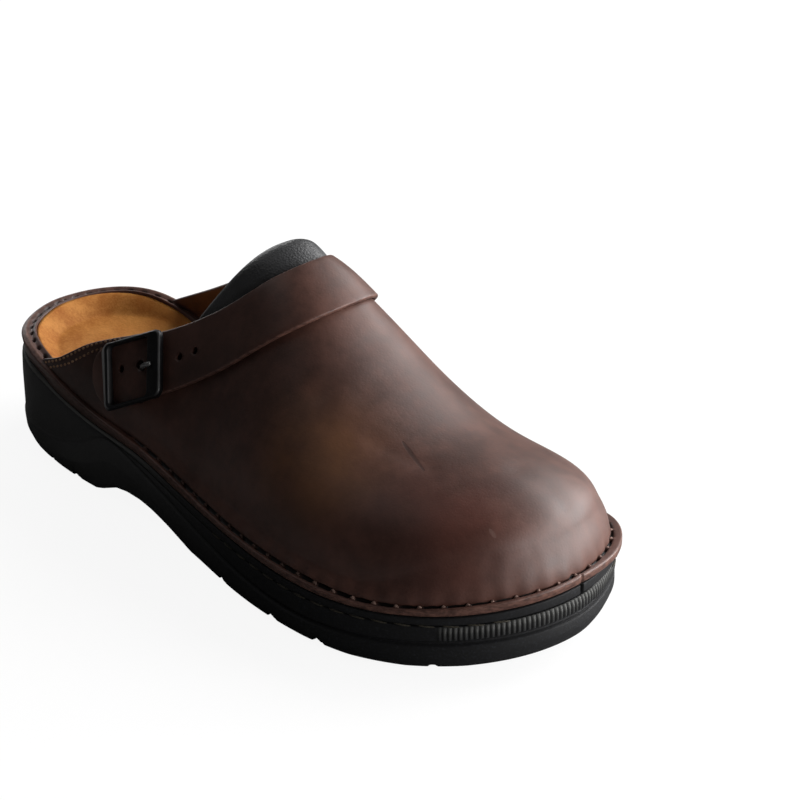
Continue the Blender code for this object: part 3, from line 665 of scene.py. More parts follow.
# %% Welt
STITCH, FIRST_STITCH, HOLE = 8.4, -7.0, 6.5
# Measures across the strip, in from the outline: flush, ledge, channel, width.
rise, inset = welt_rise(EDGE_X), along(WELT, "inset", EDGE_X)
heel, fore = 1 - ease(EDGE_X, 34, 50), ease(EDGE_X, 84, 104)
width = 6.3 + 0.9 * ease(EDGE_X, 34, 62) + 3.3 * ease(EDGE_X, 60, 110)
bend = 0.7 + 0.1 * heel
flush = 0.4 - 1.6 * inner_toe + 0.5 * slit
ledge = flush + bend
channel = heel * 4.2 + (1 - heel) * np.maximum(inset - 0.3, ledge + 1.5)
rim_lift = 2.6 * ease(EDGE[:, 1], 5, 30) * np.exp(-(((EDGE_X - 64) / 30) ** 2))
rim_lift -= 2.0 * ease(-EDGE[:, 1], 0, 26) * (1 - ease(EDGE_X, 20, 44))
phase = (EDGE_RUN - TOE_RUN - FIRST_STITCH) / STITCH % 1
fore_slot = ease(np.abs(phase - 0.5), 0.42, 0.34)
heel_hole = ease(np.abs(EDGE_RUN / HOLE % 1 - 0.5), 0.26, 0.12)
butt = np.exp(-(((EDGE_RUN - JOINT_RUN) / 1.8) ** 4))
depth = fore * (0.15 + 1.35 * np.maximum(fore_slot, butt)) + heel * (0.45 + 1.0 * heel_hole)


def welt_row(offset_in, dip=0.0, swell=0.0):
    """Rail on top of the welt: it slopes a little inwards, dips in the channel and swells at the heel."""
    fall = (0.05 * rise * (1 - heel) - 0.2 * heel) * (offset_in - ledge) / (width - ledge)
    height = welt_top(EDGE_X) + rim_lift - fall - dip * depth + swell * heel
    return np.column_stack([EDGE - EDGE_OUT * offset_in[:, None], height])


side = soften(
    [
        rail(-width, lambda x: midsole_top(x) + GAP),
        rail(-flush - 0.5 - 0.9 * heel, lambda x: midsole_top(x) + GAP),
        rail(-flush - 0.9 * heel, lambda x: midsole_top(x) + GAP + 0.5),
    ],
    radius=0.3,
)
turns = np.radians((0, 22, 45, 68, 90))
arc = [
    welt_row(flush + bend * (1 - np.cos(s))) - UP * (bend * (1 - np.sin(s)))[:, None]
    for s in turns
]
cut = 0.9 + 0.4 * fore + 0.2 * heel
inside = width - channel - cut
top = [welt_row(ledge + (channel - cut - ledge) * s, 0, 0.5 * np.sin(np.pi * s)) for s in (0.33, 0.66)]
dips = (0, 0.1, 0.5, 0.9, 1, 0.9, 0.5, 0.1, 0)
top += [welt_row(channel + cut * d, dip) for d, dip in zip(np.linspace(-1, 1, len(dips)), dips)]
top += [welt_row(channel + cut + inside * s, 0, 0.3 * np.sin(np.pi * s)) for s in (0.33, 0.66, 1)]
rows = np.concatenate([side, arc, top])
raw = np.zeros(rows.shape[:2])
raw[1 : len(side)] = 1.0
raw[len(side) : len(side) + len(turns)] = np.cos(turns)[:, None]
raw *= 0.3 + 0.7 * ease(EDGE_X, 70, 120)
# Painted highlight: the rounded top band of the heel rim is given the paler fibre colour.
raw[len(side) + 1 : len(side) + len(turns) + 2] += 0.9 * heel
raw = np.minimum(raw, 1)
# Painted shade: the channel is darkened, most in its stitch slots, at the butt joint of the toe and in the
# heel's stitch holes.
in_channel = fore * (0.3 + 0.7 * np.maximum(fore_slot, butt)) + 0.7 * heel * heel_hole
dirt = np.zeros(rows.shape[:2])
dirt[-3 - len(dips) : -3] = np.outer((0, 0.4, 1, 1, 1, 1, 1, 1, 1), in_channel)
faces = round_faces(rows, True)
sew("welt_leather", rows, faces, WELT_LEATHER, "brown_leather", ["welt"], raw=raw, dirt=dirt)

# %% [markdown]
# The footbed fills the welt. It is moulded to a cup at the heel: the wall of the cup falls from the rim
# and turns to the flat bed in a soft curve. Rails side by side with the edge let the cup follow the rim.

# %% Footbed
FOOTBED = table("x depth", (0, 9.0), (40, 9.0), (90, 6.5), (130, 4.0), (190, 2.0), (280, 1.5))


def footbed_z(x, share):
    """Height of the bed: the rim less a share of the cup's depth, but never into the midsole."""
    rim = welt_top(x) - 0.05 * welt_rise(x) - 0.5
    return np.maximum(rim - share * along(FOOTBED, "depth", x), midsole_top(x) + 1.8)


rows = [rail(-width - GAP, lambda x: midsole_top(x) + GAP)]
for into in np.linspace(0, 18, 19):
    rows.append(rail(-width - GAP - into, lambda x, into=into: footbed_z(x, ease(into, -3.0, 14.0))))
    rows[-1][:, 2] += (rim_lift + 1.4 * heel) * (1 - ease(into, 0.0, 16.0))
rows = np.concatenate([np.stack(rows), filled(rows[-1], (0.8, 0.55, 0.3, 0))])
sew("footbed_leather", rows, round_faces(rows), TAN_LEATHER, "tan_leather", ["insole"])

# %% [markdown]
# The upper is one shell of leather drawn over the last. Across the foot it is half of a rounded box whose
# squeareness changes along the shoe; along the foot it follows the ridge. Its top edge runs level with the
# strap. Leather bends in use, so a few soft creases, listed one by one, are pressed in.

# %% Surface of the upper
RIDGE = table(
    "back height",
    (0, 0), (2.2, 12.8), (6.2, 20.6), (12, 26.2), (20, 30.2), (32, 33.6), (44, 36.2), (59, 40.2),
    (74, 46.8), (89, 55.4), (102, 63.6), (114, 70.0), (124, 74.2), (144, 75.0), (164, 71.0), (194, 62.0),
    (250, 43.0),
)
SECTION = table(
    "x ridge_y lateral medial",
    (60, 5.0, 1.45, 2.0), (100, 9.5, 1.22, 1.95), (135, 10.5, 1.28, 1.9), (165, 9.0, 1.6, 1.8),
    (200, 4.0, 1.9, 1.72), (240, 2.0, 2.2, 2.0), (275, 0, 2.4, 2.35),
)
STRAP_LINE = table(
    "x z",
    (30, 22.4), (60, 38.2), (80, 48.9), (91.5, 54.2), (105, 60.6), (116.5, 67.2), (140, 83.2),
    (161.5, 99.2), (190, 121.0),
)
SWELL, WALL, STRAP_SLOPE = 0.03, 2.2, np.radians(35.0)


def foot_line(side):
    """Line where the upper stands on the welt: x and half-width, from heel to toe."""
    t = np.linspace(0, 1, 600)
    line = outline(t, side) - outward(t, side) * along(LAST, "inset", outline(t, side)[:, 0])[:, None]
    return line[:, 0], np.abs(line[:, 1])


FOOT_LATERAL, FOOT_MEDIAL = foot_line(-1), foot_line(1)
TOE_TIP = FOOT_LATERAL[0][-1]


def upper_point(a, x):
    """Point of the upper: a from -1 at the lateral welt over the ridge to 1 at the medial welt.
    y goes with cos(v)^p and z with sin(v)^p; v = (1 - |a|) pi/2 and p says how square the section is."""
    a, x = np.broadcast_arrays(np.asarray(a, float), np.asarray(x, float))
    height = spline(np.sqrt(np.maximum(TOE_TIP - x, 0)), np.sqrt(RIDGE["back"]), RIDGE["height"])
    ridge_y = along(SECTION, "ridge_y", x)
    width = np.where(a < 0, np.interp(x, *FOOT_LATERAL) + ridge_y, np.interp(x, *FOOT_MEDIAL) - ridge_y)
    v = np.clip(1 - np.abs(a), 0, 1) * np.pi / 2
    square = np.where(a < 0, along(SECTION, "lateral", x), along(SECTION, "medial", x))
    power = 2 / (square + (2 - square) * np.sin(v) ** 6)
    y = ridge_y + np.sign(a) * width * np.cos(v) ** power * (1 + SWELL * np.sin(2 * v))
    return np.stack([x, y, along(LAST, "base", x) + GAP + height * np.sin(v) ** power], -1)


def upper_normal(a, x):
    """Unit vector out of the leather: square to a small step along a and to one along x."""
    da = upper_point(np.minimum(a + 1e-3, 1), x) - upper_point(np.maximum(a - 1e-3, -1), x)
    dx = upper_point(a, x + 0.1) - upper_point(a, x - 0.1)
    return unit(np.cross(dx, da))


def x_at_level(a, level):
    """Where the line a of the upper crosses a level of the strap, found by halving."""
    a, level = np.broadcast_arrays(np.asarray(a, float), np.asarray(level, float))
    near, far = np.full(a.shape, 5.0), np.full(a.shape, 265.0)
    for _ in range(28):
        middle = (near + far) / 2
        point = upper_point(a, middle)
        above = (point[..., 2] - along(STRAP_LINE, "z", point[..., 0])) * np.cos(STRAP_SLOPE) > level
        near, far = np.where(above, middle, near), np.where(above, far, middle)
    return middle


THROAT = table(
    "a level",
    (-1, 13.2), (-0.93, 13.1), (-0.84, 12.6), (-0.77, 13.2), (-0.7, 13.7), (-0.64, 12.8), (-0.6, 11.8),
)
THROAT_MIDDLE, THROAT_MEDIAL = 5.0, 17.0


def throat_level(a):
    """Top edge of the upper: nearly straight along both quarters, lower under the strap on the instep."""
    high = np.where(a < 0, spline(a, THROAT["a"], THROAT["level"]), THROAT_MEDIAL)
    return THROAT_MIDDLE + (high - THROAT_MIDDLE) * ease(np.abs(a), 0.42, 0.60)


CREASES = (
    ((176.1, 16.4, 83.2), (178.8, -22.3, 72.9), 0.55, 4.5),
    ((187.5, 20.0, 78.6), (190.0, -12.0, 72.6), 0.3, 5.0),
    ((248.9, 4.4, 58.8), (266.8, 7.7, 51.2), 0.45, 5.0),
    ((205.0, -22.0, 64.0), (226.0, -16.0, 58.5), 0.3, 3.5),
    ((267.4, -22.1, 36.7), (270.1, -13.7, 43.1), 0.16, 3.2),
    ((262.2, -28.8, 31.7), (263.8, -25.2, 41.5), 0.14, 3.0),
)


def press(points, normal):
    """Soft troughs: each sinks by depth * exp(-(off / width)^2), where off is the distance to the line
    between two places."""
    for start, end, depth, width in CREASES:
        ahead = np.subtract(end, start)
        share = np.clip((points - start) @ ahead / (ahead @ ahead), 0, 1)
        off = np.linalg.norm(points - start - share[..., None] * ahead, axis=-1)
        points = points - normal * (depth * np.exp(-((off / width) ** 2)))[..., None]
    return points


print("upper ends", round(SOLE_LENGTH - TOE_TIP, 1), "mm behind the tip of the sole")

# %% [markdown]
# The shell is made of two sheets of points from the throat to the toe: the skin and, one wall inside it, its
# back. A half-round lip joins them at the throat and a strip shuts each side. At the foot the leather turns
# out on to the welt and each stitch draws it in and down, which leaves small puckers round the toe. A
# Solidify modifier could give the wall too, but not a foot that sinks into the welt.

# %% Upper
PUCKER_SINK, PUCKER_IN, PUCKER_FADE = 0.35, 0.22, 3.5


def shell_faces(rows, front):
    """Faces of a folded sheet of which the first front rows are one face: the grid is joined round, and a
    strip between each row and its mate shuts both sides."""
    count, columns = rows.shape[:2]
    faces = [grid_faces(count, columns, join_rows=True)]
    line = np.arange(front - 1)
    mate = count - 1 - line
    for column, flip in ((0, 1), (columns - 1, -1)):
        strip = np.stack([line, line + 1, mate - 1, mate], -1) * columns + column
        faces.append(strip[:, ::flip])
    return np.concatenate(faces)


a = np.linspace(-1, 1, 221)[None, :]
a = a * (1.5 - 0.5 * a**2)
share = np.linspace(0, 1, 171)[:, None]
start = x_at_level(a, throat_level(a))
x = start + (TOE_TIP - 0.02 - start) * (1 - (1 - share) ** 2.6)
skin, normal = upper_point(a, x), upper_normal(a, x)
over_welt = skin[..., 2] - along(LAST, "base", x) - GAP
plan = unit(normal * [1, 1, 0])
turned = 5.0 + 9.0 * ease(x, 222, 262)
flare = (along(LAST, "inset", x) - along(WELT, "inset", x)) * (1 - ease(over_welt, 0, turned))
sink = (along(LAST, "base", x) - welt_top(x)) * (1 - ease(over_welt, 0, 10.0))
low_down = over_welt < 14.0
near_edge = np.linalg.norm(skin[low_down][:, None, :2] - EDGE, axis=-1).argmin(axis=1)
pucker = np.zeros(x.shape)
pucker[low_down] = np.cos(2 * np.pi * (EDGE_RUN[near_edge] - TOE_RUN - FIRST_STITCH) / STITCH)
drawn = np.exp(-over_welt / PUCKER_FADE) * ease(x, 100, 130)
pucker *= drawn
sink = sink + PUCKER_SINK * pucker - 0.3 * drawn
skin = press(skin + plan * (flare - PUCKER_IN * pucker)[..., None] - UP * sink[..., None], normal)
thick = WALL * np.clip((TOE_TIP - x) / 6, 0.02, 1)[..., None]
edge = np.linspace(0, np.pi, 7)[1:-1, None, None]
lip = skin[:1] - normal[:1] * thick[:1] * (1 - np.cos(edge)) / 2
lip = lip + unit(skin[:1] - skin[1:2]) * np.sin(edge) * WALL / 2
inner = skin - normal * thick
inner[..., 2] -= 1.6 * np.exp(-(over_welt**2))
rows = np.concatenate([skin[::-1], lip, inner])
sew("upper_leather", rows, shell_faces(rows, len(skin)), UPPER_LEATHER, "brown_leather", ["upper"])

# %% [markdown]
# The strap lies over the instep, square to its own middle line, so it needs a map from strap measures
# (run along it, level across it, out from the leather) to places on the upper. The buckle and its prong
# use the same map, which bends their metal to the quarter as in wear.

# %% Map of the strap
LINE_A = np.linspace(-0.98, 0.98, 800)
LINE_X = x_at_level(LINE_A, 0.0)
LINE = upper_point(LINE_A, LINE_X)
LINE_RUN = run_along(LINE)
LINE_AHEAD = unit(np.gradient(LINE, axis=0))


def over_strap(run, level, out):
    """Place over the upper: at each level, slide along the leather until the step from the strap's middle
    line is square to that line."""
    run, level, out = (value.astype(float) for value in np.broadcast_arrays(run, level, out))
    middle, ahead = (at_run(run, LINE_RUN, path) for path in (LINE, LINE_AHEAD))
    place = run
    for _ in range(6):
        a = np.interp(place, LINE_RUN, LINE_A)
        x = x_at_level(a, level)
        point = upper_point(a, x)
        place = place - ((point - middle) * ahead).sum(axis=-1)
    return point + upper_normal(a, x) * out[..., None]


BUCKLE_X, SEWN_X = 91.5, 76.0
lateral, medial = LINE_A < 0, LINE_A > 0
BUCKLE_RUN = float(np.interp(BUCKLE_X, LINE_X[lateral], LINE_RUN[lateral]))
SEWN_RUN = float(np.interp(-SEWN_X, -LINE_X[medial], LINE_RUN[medial]))
LONG = at_run(BUCKLE_RUN, LINE_RUN, LINE_AHEAD)
side_step = over_strap(BUCKLE_RUN, 1.0, 0.0) - over_strap(BUCKLE_RUN, -1.0, 0.0)
SLANT = 2 / float(np.linalg.norm(side_step))
TALL = unit(side_step - LONG * (side_step @ LONG))
print("strap runs", round(SEWN_RUN - BUCKLE_RUN), "mm from the buckle to its sewn end")


def on_buckle(long, tall, out):
    """Place by the buckle: long and tall from its middle, out from the leather."""
    return over_strap(BUCKLE_RUN + np.asarray(long), np.asarray(tall) * SLANT, out)


# %% [markdown]
# The strap is cut from thick leather: a rounded section carried along the map, with a rounded tail. Its
# other end is pared thin, as a shoemaker does before sewing it down on the inner quarter. The section is a
# ring of parts: flat top, two corners, flat underside, two corners. Its raw mark is on the cut sides alone.

# %% Strap
STRAP_THICK, STRAP_LIFT, STRAP_WIDTH, STRAP_ROUND = 2.0, 0.5, 20.8, 0.8
TAIL_REACH, TAIL_WIDTH, TAIL_ROUND = 23.0, 19.6, 7.0
SEWN_END, SEWN_ROUND = SEWN_RUN - BUCKLE_RUN, 5.0


def strap_under(long):
    """Height of the strap's underside: a hump over the buckle's bar, let in at the sewn end."""
    return STRAP_LIFT + 1.25 * np.exp(-((long / 9) ** 4)) - 0.8 * ease(long, SEWN_END - 14, SEWN_END)


def strap_share(long):
    """Share of the full thickness: pared to two fifths at the sewn end."""
    return 1 - 0.6 * ease(long, SEWN_END - 16, SEWN_END)


def strap_climb(long):
    """How far the strap lies above its line: a little more over the instep."""
    return 0.5 + 1.3 * ease(long, 40, 75)


def capped(rings, first, last):
    """Rings closed at both ends, where one more ring is gathered in a point."""
    return np.stack([0 * rings[0] + first, *rings, 0 * rings[0] + last])


tail = -TAIL_REACH + TAIL_ROUND * (1 - np.cos(np.linspace(0, np.pi / 2, 12)))
sewn = SEWN_END - SEWN_ROUND * (1 - np.sin(np.linspace(0, np.pi / 2, 10)))
long = np.concatenate([tail, np.arange(-15.5, 17, 0.8), np.linspace(17.5, sewn[0] - 1, 86), sewn])[:, None]
half = np.interp(long, (18, 75), (TAIL_WIDTH / 2, STRAP_WIDTH / 2))
half = half - SEWN_ROUND * (1 - np.sqrt(1 - np.clip((long - sewn[0]) / SEWN_ROUND, 0, 1) ** 2))
past_tail = np.clip(-TAIL_REACH + TAIL_ROUND - long, 0, TAIL_ROUND) / TAIL_ROUND
half = half * np.sqrt(np.clip(1 - past_tail**2, 1e-4, 1))
corner = np.minimum(STRAP_ROUND, half * 0.9)

flat = np.linspace(-1, 1, 13)
turn = np.linspace(np.pi / 2, 0, 4)
bow, drop = np.cos(turn), STRAP_ROUND * (1 - np.sin(turn))
section = (
    (flat[:-1], 0, STRAP_THICK),
    (1, bow, STRAP_THICK - drop),
    (1, bow[::-1], drop[::-1]),
    (flat[-2:0:-2], 0, 0),
    (-1, -bow, drop),
    (-1, -bow[:0:-1], STRAP_THICK - drop[:0:-1]),
)
across, bulge, out = np.concatenate([np.column_stack(np.broadcast_arrays(*part)) for part in section]).T
level = (half - corner) * across + corner * bulge
rows = over_strap(BUCKLE_RUN + long, level + strap_climb(long), strap_under(long) + out * strap_share(long))
rows = capped(rows, rows[0].mean(axis=0), rows[-1].mean(axis=0))
raw = np.broadcast_to(np.where((out > 0.01) & (out < STRAP_THICK - 0.01), 0.7, 0.0), rows.shape[:2])
strap = sew("strap_leather", rows, round_faces(rows), STRAP_LEATHER, "brown_leather", ["strap"], raw=raw)

# %% [markdown]
# The prong holes are punched as with a hand punch: a round rod stands square through the strap at each hole
# and a Boolean cut takes it away. Four cuts are few enough to keep the mesh clean.

# %% Punched holes
HOLES = ((-7.4, 1.9, 1.55), (2.2, 1.6, 1.8), (20.6, 0.8, 1.45), (28.8, 0.8, 1.45))
PUNCH_FROM_TO = np.array([-6.0, 16.0])


def rod(path, radius, across, sides=14):
    """Round rod: a circle of the given radii carried along a path, with the direction across as its first
    radius, closed at both ends."""
    lift = np.cross(unit(np.gradient(path, axis=0)), across)
    angle = np.linspace(0, 2 * np.pi, sides, endpoint=False)[None, :, None]
    ring = np.cos(angle) * np.asarray(across) + np.sin(angle) * lift[:, None]
    points = path[:, None] + np.broadcast_to(radius, len(path))[:, None, None] * ring
    return capped(points, path[0], path[-1])


for place, tall, radius in HOLES:
    bore = rod(on_buckle(np.full(2, place), tall, PUNCH_FROM_TO), radius, LONG, 20)
    punch = stand("punch", mesh_of("punch", bore, round_faces(bore)))
    cut = strap.modifiers.new("punch", "BOOLEAN")
    cut.operation, cut.solver, cut.object = "DIFFERENCE", "EXACT", punch
    bpy.context.view_layer.update()
    punched = strap.evaluated_get(bpy.context.evaluated_depsgraph_get())
    punched = bpy.data.meshes.new_from_object(punched)
    strap.modifiers.clear()
    strap.data = punched
    bpy.data.objects.remove(punch)
print("strap with holes:", len(strap.data.polygons), "faces")

# %% [markdown]
# The buckle is a cast frame: a rounded rectangle with a wide front bar, thin sides and a hidden centre bar
# that carries the prong. Every edge is broken so that it catches a line of light. Its loops are drawn on
# the strap's map, so that nothing has to be bent afterwards.

# %% Buckle
def frame_rail(long, tall, radius, out, shift=0.0, droop=0.0):
    """Rounded rectangle on the strap's map: quarter circles at four corners, straight between them, and
    lower by droop at the tail end."""
    turn = np.linspace(0, 2 * np.pi, 96, endpoint=False) + np.pi / 96
    corner = np.floor(turn / (np.pi / 2)).astype(int)
    right = np.where((corner == 0) | (corner == 3), 1, -1) * (long / 2 - radius) + shift
    up = np.where(corner < 2, 1, -1) * (tall / 2 - radius)
    right, up = right + radius * np.cos(turn), up + radius * np.sin(turn)
    return on_buckle(right + LEAN * up, up, out - droop * np.clip(-right / long * 2, 0, 1) ** 4)


LOW, HIGH, LEAN = 3.4, 6.2, 0.085
FRAME_LONG, FRAME_TALL, OPEN_LONG, OPEN_TALL = 29.8, 25.4, 19.0, 21.8
FRAME_SHIFT, OPEN_SHIFT = -1.2, -2.3
loops = soften(
    [
        frame_rail(OPEN_LONG, OPEN_TALL, 1.5, LOW, OPEN_SHIFT),
        frame_rail(FRAME_LONG - 0.8, FRAME_TALL - 0.8, 2.6, LOW, FRAME_SHIFT),
        frame_rail(FRAME_LONG, FRAME_TALL, 3.0, LOW + 0.5, FRAME_SHIFT),
        frame_rail(FRAME_LONG, FRAME_TALL, 3.0, HIGH - 0.7, FRAME_SHIFT, 1.0),
        frame_rail(FRAME_LONG - 3.2, FRAME_TALL - 1.4, 2.3, HIGH, FRAME_SHIFT + 1.0),
        frame_rail(OPEN_LONG + 0.5, OPEN_TALL + 0.5, 1.75, HIGH, OPEN_SHIFT),
    ],
    radius=0.35,
    ring=True,
)
# The top's outer bevel and, fainter, its inner edge are bared as by wear and painted pale as a highlight,
# most on the tail-end bar, less on the front bar and little along the sides.
worn_and_highlit = np.zeros(loops.shape[:2])
facing = np.cos(np.linspace(0, 2 * np.pi, loops.shape[1], endpoint=False))
rubbed_and_highlit = np.where(facing > 0, 0.4, 1.0) * np.abs(facing) ** 1.5
worn_and_highlit[11:14], worn_and_highlit[17] = rubbed_and_highlit, 0.5 * rubbed_and_highlit
sew("buckle_frame", loops, round_faces(loops, True), BUCKLE_METAL, "black_metal", ["buckle"], raw=worn_and_highlit)
leg = (OPEN_TALL + FRAME_TALL) / 4
bar = [(0, leg, LOW + 1.4), (0, leg, 2.0), (0, leg - 0.3, 1.3), (0, leg - 0.9, 0.95)]
bar = np.array(bar + [(0, -tall, out) for _, tall, out in bar[::-1]])
rows = rod(on_buckle(*bar.T), 0.6, LONG)
sew("buckle_bar", rows, round_faces(rows), BUCKLE_METAL, "black_metal")

# %% [markdown]
# The prong is one bent wire: a loop round the hidden bar, then up through its hole and over the strap. A rod
# carried along a few places does that, and its radii swell it and then draw its tip in.

# %% Prong
LOOP = 1.35
sweep = np.radians(np.linspace(180, 75, 8))
over = [(LOOP * np.cos(s), 0, 0.95 + LOOP * np.sin(s)) for s in sweep]
over += [(2.0, 0, 2.6), (3.6, 0, 4.4), (5.4, 0, 6.3), (7.2, 0, 7.1)]
over += [(9.4, 0, 7.15), (9.9, 0, 7.1), (10.2, 0, 7.0)]
radii = np.array([0.6] * len(sweep) + [0.8, 0.9, 0.9, 0.9, 0.9, 0.75, 0.45])
rows = rod(on_buckle(*np.array(over).T), radii, TALL)
worn_and_highlit = np.zeros(rows.shape[:2])
worn_and_highlit[-6:] = 0.9
sew("prong_pin", rows, round_faces(rows), BUCKLE_METAL, "black_metal", ["prong"], raw=worn_and_highlit)

# %% [markdown]
# The instep pad is soft foam under black leather. It is tucked under the throat edge and rolls out above
# the strap; both faces meet in a round edge. Foam could be simulated, but the throat holds it in one known
# shape, so both faces are drawn.

# %% Instep pad
PAD = table(
    "a top",
    (-0.495, 10.0), (-0.44, 13.3), (-0.36, 17.2), (-0.28, 20.0), (-0.2, 21.7), (-0.08, 22.7), (0.12, 21.2),
    (0.3, 19.0), (0.45, 15.0), (0.56, 11.0),
)
PAD_THICK, PAD_TUCK = 5.0, 8.8
a = np.linspace(PAD["a"][0], PAD["a"][-1], 97)[None, :]
edge = np.clip(1 - ((a - a.mean()) / (a.max() - a.mean())) ** 2, 0, 1)
share = np.sin(np.linspace(0, np.pi / 2, 22))[:, None]
tucked = np.linspace(-22, PAD_TUCK, 34)[:-1, None]
level = np.concatenate([tucked + 0 * a, PAD_TUCK + (spline(a, PAD["a"], PAD["top"]) - PAD_TUCK) * share])
share = np.concatenate([0 * tucked, share])
clear = -WALL - 0.5
out_of_throat = np.clip((level - throat_level(a) - 2.6) / 2.6, 0, 1)
skin = clear + (-0.6 - clear) * out_of_throat + 5.6 * edge**0.8 * share - 1.4 * share**8
thick = (0.8 + (PAD_THICK - 0.8) * np.sqrt(edge)) * (1 - 0.5 * share**8)
middle = skin - thick / 2
belly = np.sqrt(np.clip(1 - ((share - 0.75) / 0.25).clip(0, 1) ** 2, 0, 1))
x = x_at_level(a, level)
base, normal = upper_point(a, x), upper_normal(a, x)
front, rear = (base + normal * (middle + sign * thick / 2 * belly)[..., None] for sign in (1, -1))
rows = np.concatenate([front, rear[::-1]])
faces = shell_faces(rows, len(front))
cushion = sew("instep_cushion", rows, faces, PAD_LEATHER, "black_leather", ["instep_pad"])

# %% [markdown]
# Thread finishes the shoe: heavy stitches in the welt's channel and a second line in the seam under the
# midsole. Each stitch is a short rod of a few faces, because real thread stands proud and catches light.

# %% Welt and sole threads
STITCH_RINGS, STITCH_SIDES = 7, 6


def stitches(place, ahead, out, length, thick):
    """Short rods with round ends that sink in: from end to end, s from -1 to 1, the radius goes with
    sqrt(1 - s^2) and the fall with s^2."""
    s = np.linspace(-1, 1, STITCH_RINGS)[None, :, None, None]
    angle = np.linspace(0, 2 * np.pi, STITCH_SIDES + 1)[None, None, :-1, None]
    place, ahead, out = (np.asarray(v)[:, None, None, :] for v in (place, ahead, out))
    radius = thick / 2 * np.sqrt(1 - s**2)
    height = np.sin(angle) * radius - 0.5 * thick * s**2
    points = place + ahead * s * length / 2 + np.cross(out, ahead) * np.cos(angle) * radius + out * height
    each = grid_faces(STITCH_RINGS, STITCH_SIDES, join_columns=True)
    first = np.arange(len(points))[:, None, None] * STITCH_RINGS * STITCH_SIDES
    return points, (first + each).reshape(-1, 4)


def on_edge(run, inset_fn, height_fn):
    """Places on the sole's edge, run millimetres from the heel, with the ways ahead and out."""
    point, out = (at_run(run, EDGE_RUN, path) for path in (EDGE, EDGE_OUT))
    point = point - out * inset_fn(point[:, 0])[:, None]
    ahead = np.column_stack([-out[:, 1], out[:, 0], 0 * run])
    place = np.column_stack([point, height_fn(point[:, 0])])
    return place, ahead, np.column_stack([out, 0 * run])


runs = TOE_RUN + FIRST_STITCH + STITCH * np.arange(-24, 26)
place, ahead, out = on_edge(runs, lambda x: along(WELT, "inset", x) - 0.4, lambda x: welt_top(x) + 0.1)
points, faces = stitches(place, ahead, np.broadcast_to(UP, place.shape), length=2.1, thick=1.35)
sew("welt_thread", points, faces, WELT_TWINE, "brown_leather")

runs = TOE_RUN + STITCH * (np.concatenate([np.arange(-19, -3), np.arange(3, 19)]) + 0.5)
place, ahead, out = on_edge(runs, lambda x: 0.35 + 0 * x, lambda x: outsole_top(x) + 0.15)
points, faces = stitches(place, ahead, out, length=7.0, thick=0.75)
sew("sole_thread", points, faces, SOLE_TWINE, "brown_leather")

# %% [markdown]
# A fine double row runs along the top of each quarter and one row round the strap's sewn end. Each is a line
# drawn on the leather and stepped off at an even pitch, as a machine would sew it.

# %% Quarter and strap threads
SEAMS_BELOW_EDGE = (0.5, 2.7)
SEAM_REACH, SEAM_IN = 20.0, 2.6


def stitch_row(path, normal, pitch=2.3):
    """Stitches of even pitch along a finely drawn line that lies on the leather."""
    far = run_along(path)
    at = np.arange(1.0, far[-1], pitch)
    place, ahead, out = (at_run(at, far, line) for line in (path, np.gradient(path, axis=0), normal))
    return stitches(place, unit(ahead), out, length=1.9, thick=1.0)


rows = []
for side in (-1, 1):
    for below in SEAMS_BELOW_EDGE:
        a = side * np.linspace(0.975, 0.62, 300)
        x = x_at_level(a, throat_level(a) - below)
        rows.append(stitch_row(upper_point(a, x), upper_normal(a, x)))
bends = np.array([(SEAM_REACH, 1), (SEAM_IN, 1), (SEAM_IN, -1), (SEAM_REACH, -1)])
bends = bends * [1, STRAP_WIDTH / 2 - SEAM_IN]
far = run_along(bends)
before_end, level = at_run(np.linspace(0, far[-1], 400), far, bends).T
long = SEWN_END - before_end
face = strap_under(long) + STRAP_THICK * strap_share(long)
path, above = (over_strap(BUCKLE_RUN + long, level + strap_climb(long), face + up) for up in (0, 1))
rows.append(stitch_row(path, above - path))
first = np.cumsum([0] + [made[..., 0].size for made, _ in rows])
points = np.concatenate([made.reshape(-1, 3) for made, _ in rows])
faces = np.concatenate([quads + start for (_, quads), start in zip(rows, first)])
sew("quarter_thread", points, faces, QUARTER_TWINE, "brown_leather")

# %% [markdown]
# The studio has a pale floor and backdrop. A switch on the kind of ray shows both white to the camera and
# keeps them from lighting the shoe, as a cut-out on white paper would be. A plain white room would flood the
# dark leather with light.

# %% Floor and backdrop
FLOOR_REACH, WHITE_GLOW, ROOM_GLOW = 60, 0.905, 0.02
scene = bpy.context.scene
corners = [(-1, -1), (1, -1), (1, 1), (-1, 1)]
ground = bpy.data.meshes.new("floor")
ground.from_pydata([(FLOOR_REACH * x, FLOOR_REACH * y, 0) for x, y in corners], [], [(0, 1, 2, 3)])
floor = stand("floor", ground)
paper = Finish("paper_floor", Specular_IOR_Level=0.05, Emission_Strength=WHITE_GLOW)
fibres = paper.noise(3, 2)
seen = paper.node("ShaderNodeLightPath", output="Is Camera Ray")
grey = paper.mix(fibres, tint(126, 126, 126), tint(136, 136, 136))
ground.materials.append(
    paper.done(
        Base_Color=paper.mix(seen, grey, tint(100, 100, 100)),
        Roughness=0.9 + fibres * 0.05,
        Emission_Color=paper.mix(seen, (0, 0, 0, 1), (1, 1, 1, 1)),
    )
)

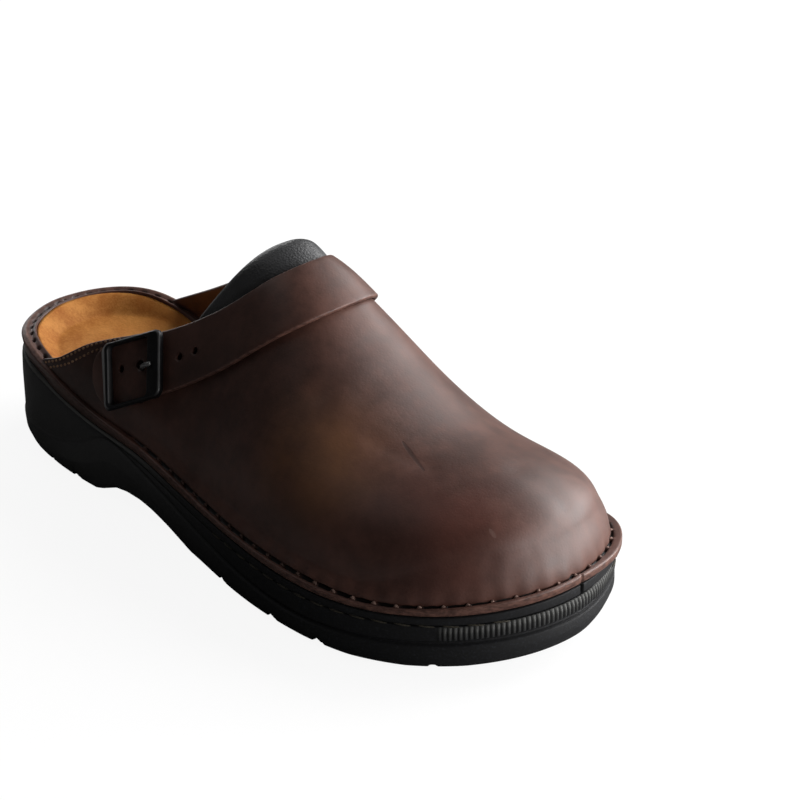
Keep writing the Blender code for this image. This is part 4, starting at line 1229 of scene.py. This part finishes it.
world = bpy.data.worlds.new("studio")
scene.world = world
world.use_nodes = True
tree = world.node_tree
backdrop = tree.nodes["Background"].inputs
backdrop["Color"].default_value = (1, 1, 1, 1)
glow = tree.nodes.new("ShaderNodeMapRange")
glow.inputs["To Min"].default_value = ROOM_GLOW
glow.inputs["To Max"].default_value = WHITE_GLOW
tree.links.new(tree.nodes.new("ShaderNodeLightPath").outputs["Is Camera Ray"], glow.inputs["Value"])
tree.links.new(glow.outputs["Result"], backdrop["Strength"])
print("floor of", 2 * FLOOR_REACH, "metres")

# %% [markdown]
# As the camera sees it, one big soft lamp stands behind the shoe on the right, with weaker ones low on the
# right, at the toe and in front.
# Two faint ones find the heel and its rim. Little light comes from the left, so the near side stays dark.

# %% Lamps
def lamp(name, place, target, size, power):
    """Soft area lamp that faces its target: tipped up from straight down, then turned about z."""
    data = bpy.data.lights.new(name, "AREA")
    data.shape, data.size, data.size_y, data.energy = "RECTANGLE", size[0], size[1], power
    made = stand(name, data)
    made.location = place
    toward = np.subtract(target, place)
    tip = float(np.arctan2(np.hypot(toward[0], toward[1]), -toward[2]))
    made.rotation_euler = (tip, 0, float(np.arctan2(toward[1], toward[0]) - np.pi / 2))
    print(name, power, "W")


lamp("back_lamp", (0.15, 1.1, 0.95), (0, 0, 0.04), (1.3, 0.9), 17.4)
lamp("right_lamp", (0.7, 0.95, 0.45), (0.05, 0, 0.04), (0.8, 0.8), 9.6)
lamp("low_right_lamp", (0.5, 1.3, 0.3), (0.05, 0, 0.04), (0.9, 0.5), 9.7)
lamp("toe_lamp", (1.2, 0.6, 0.25), (0.05, 0, 0.04), (0.7, 0.4), 10.6)
lamp("front_lamp", (1.35, -0.1, 0.45), (0.05, 0, 0.04), (0.7, 0.6), 5.2)
lamp("heel_lamp", (-1.0, -0.35, 1.3), (0, 0, 0.04), (0.8, 0.8), 1.6)
lamp("rim_lamp", (-1.2, 0.55, 0.42), (-0.1, 0, 0.04), (0.6, 0.4), 3.0)

# %% [markdown]
# The camera looks down on the shoe from in front, on its outer side. A long lens keeps the shoe's lines
# calm, as in a catalogue picture.

# %% Camera
lens = bpy.data.cameras.new("camera")
lens.lens, lens.sensor_width = 102.25, 36.0
camera = stand("camera", lens)
camera.location = (0.5569, -0.5004, 0.4131)
camera.rotation_euler = np.radians((64.02, 0, 45.0))
scene.camera = camera
scene.view_settings.view_transform = "Standard"
print("camera", round(float(np.linalg.norm(camera.location)), 2), "metres from the shoe")
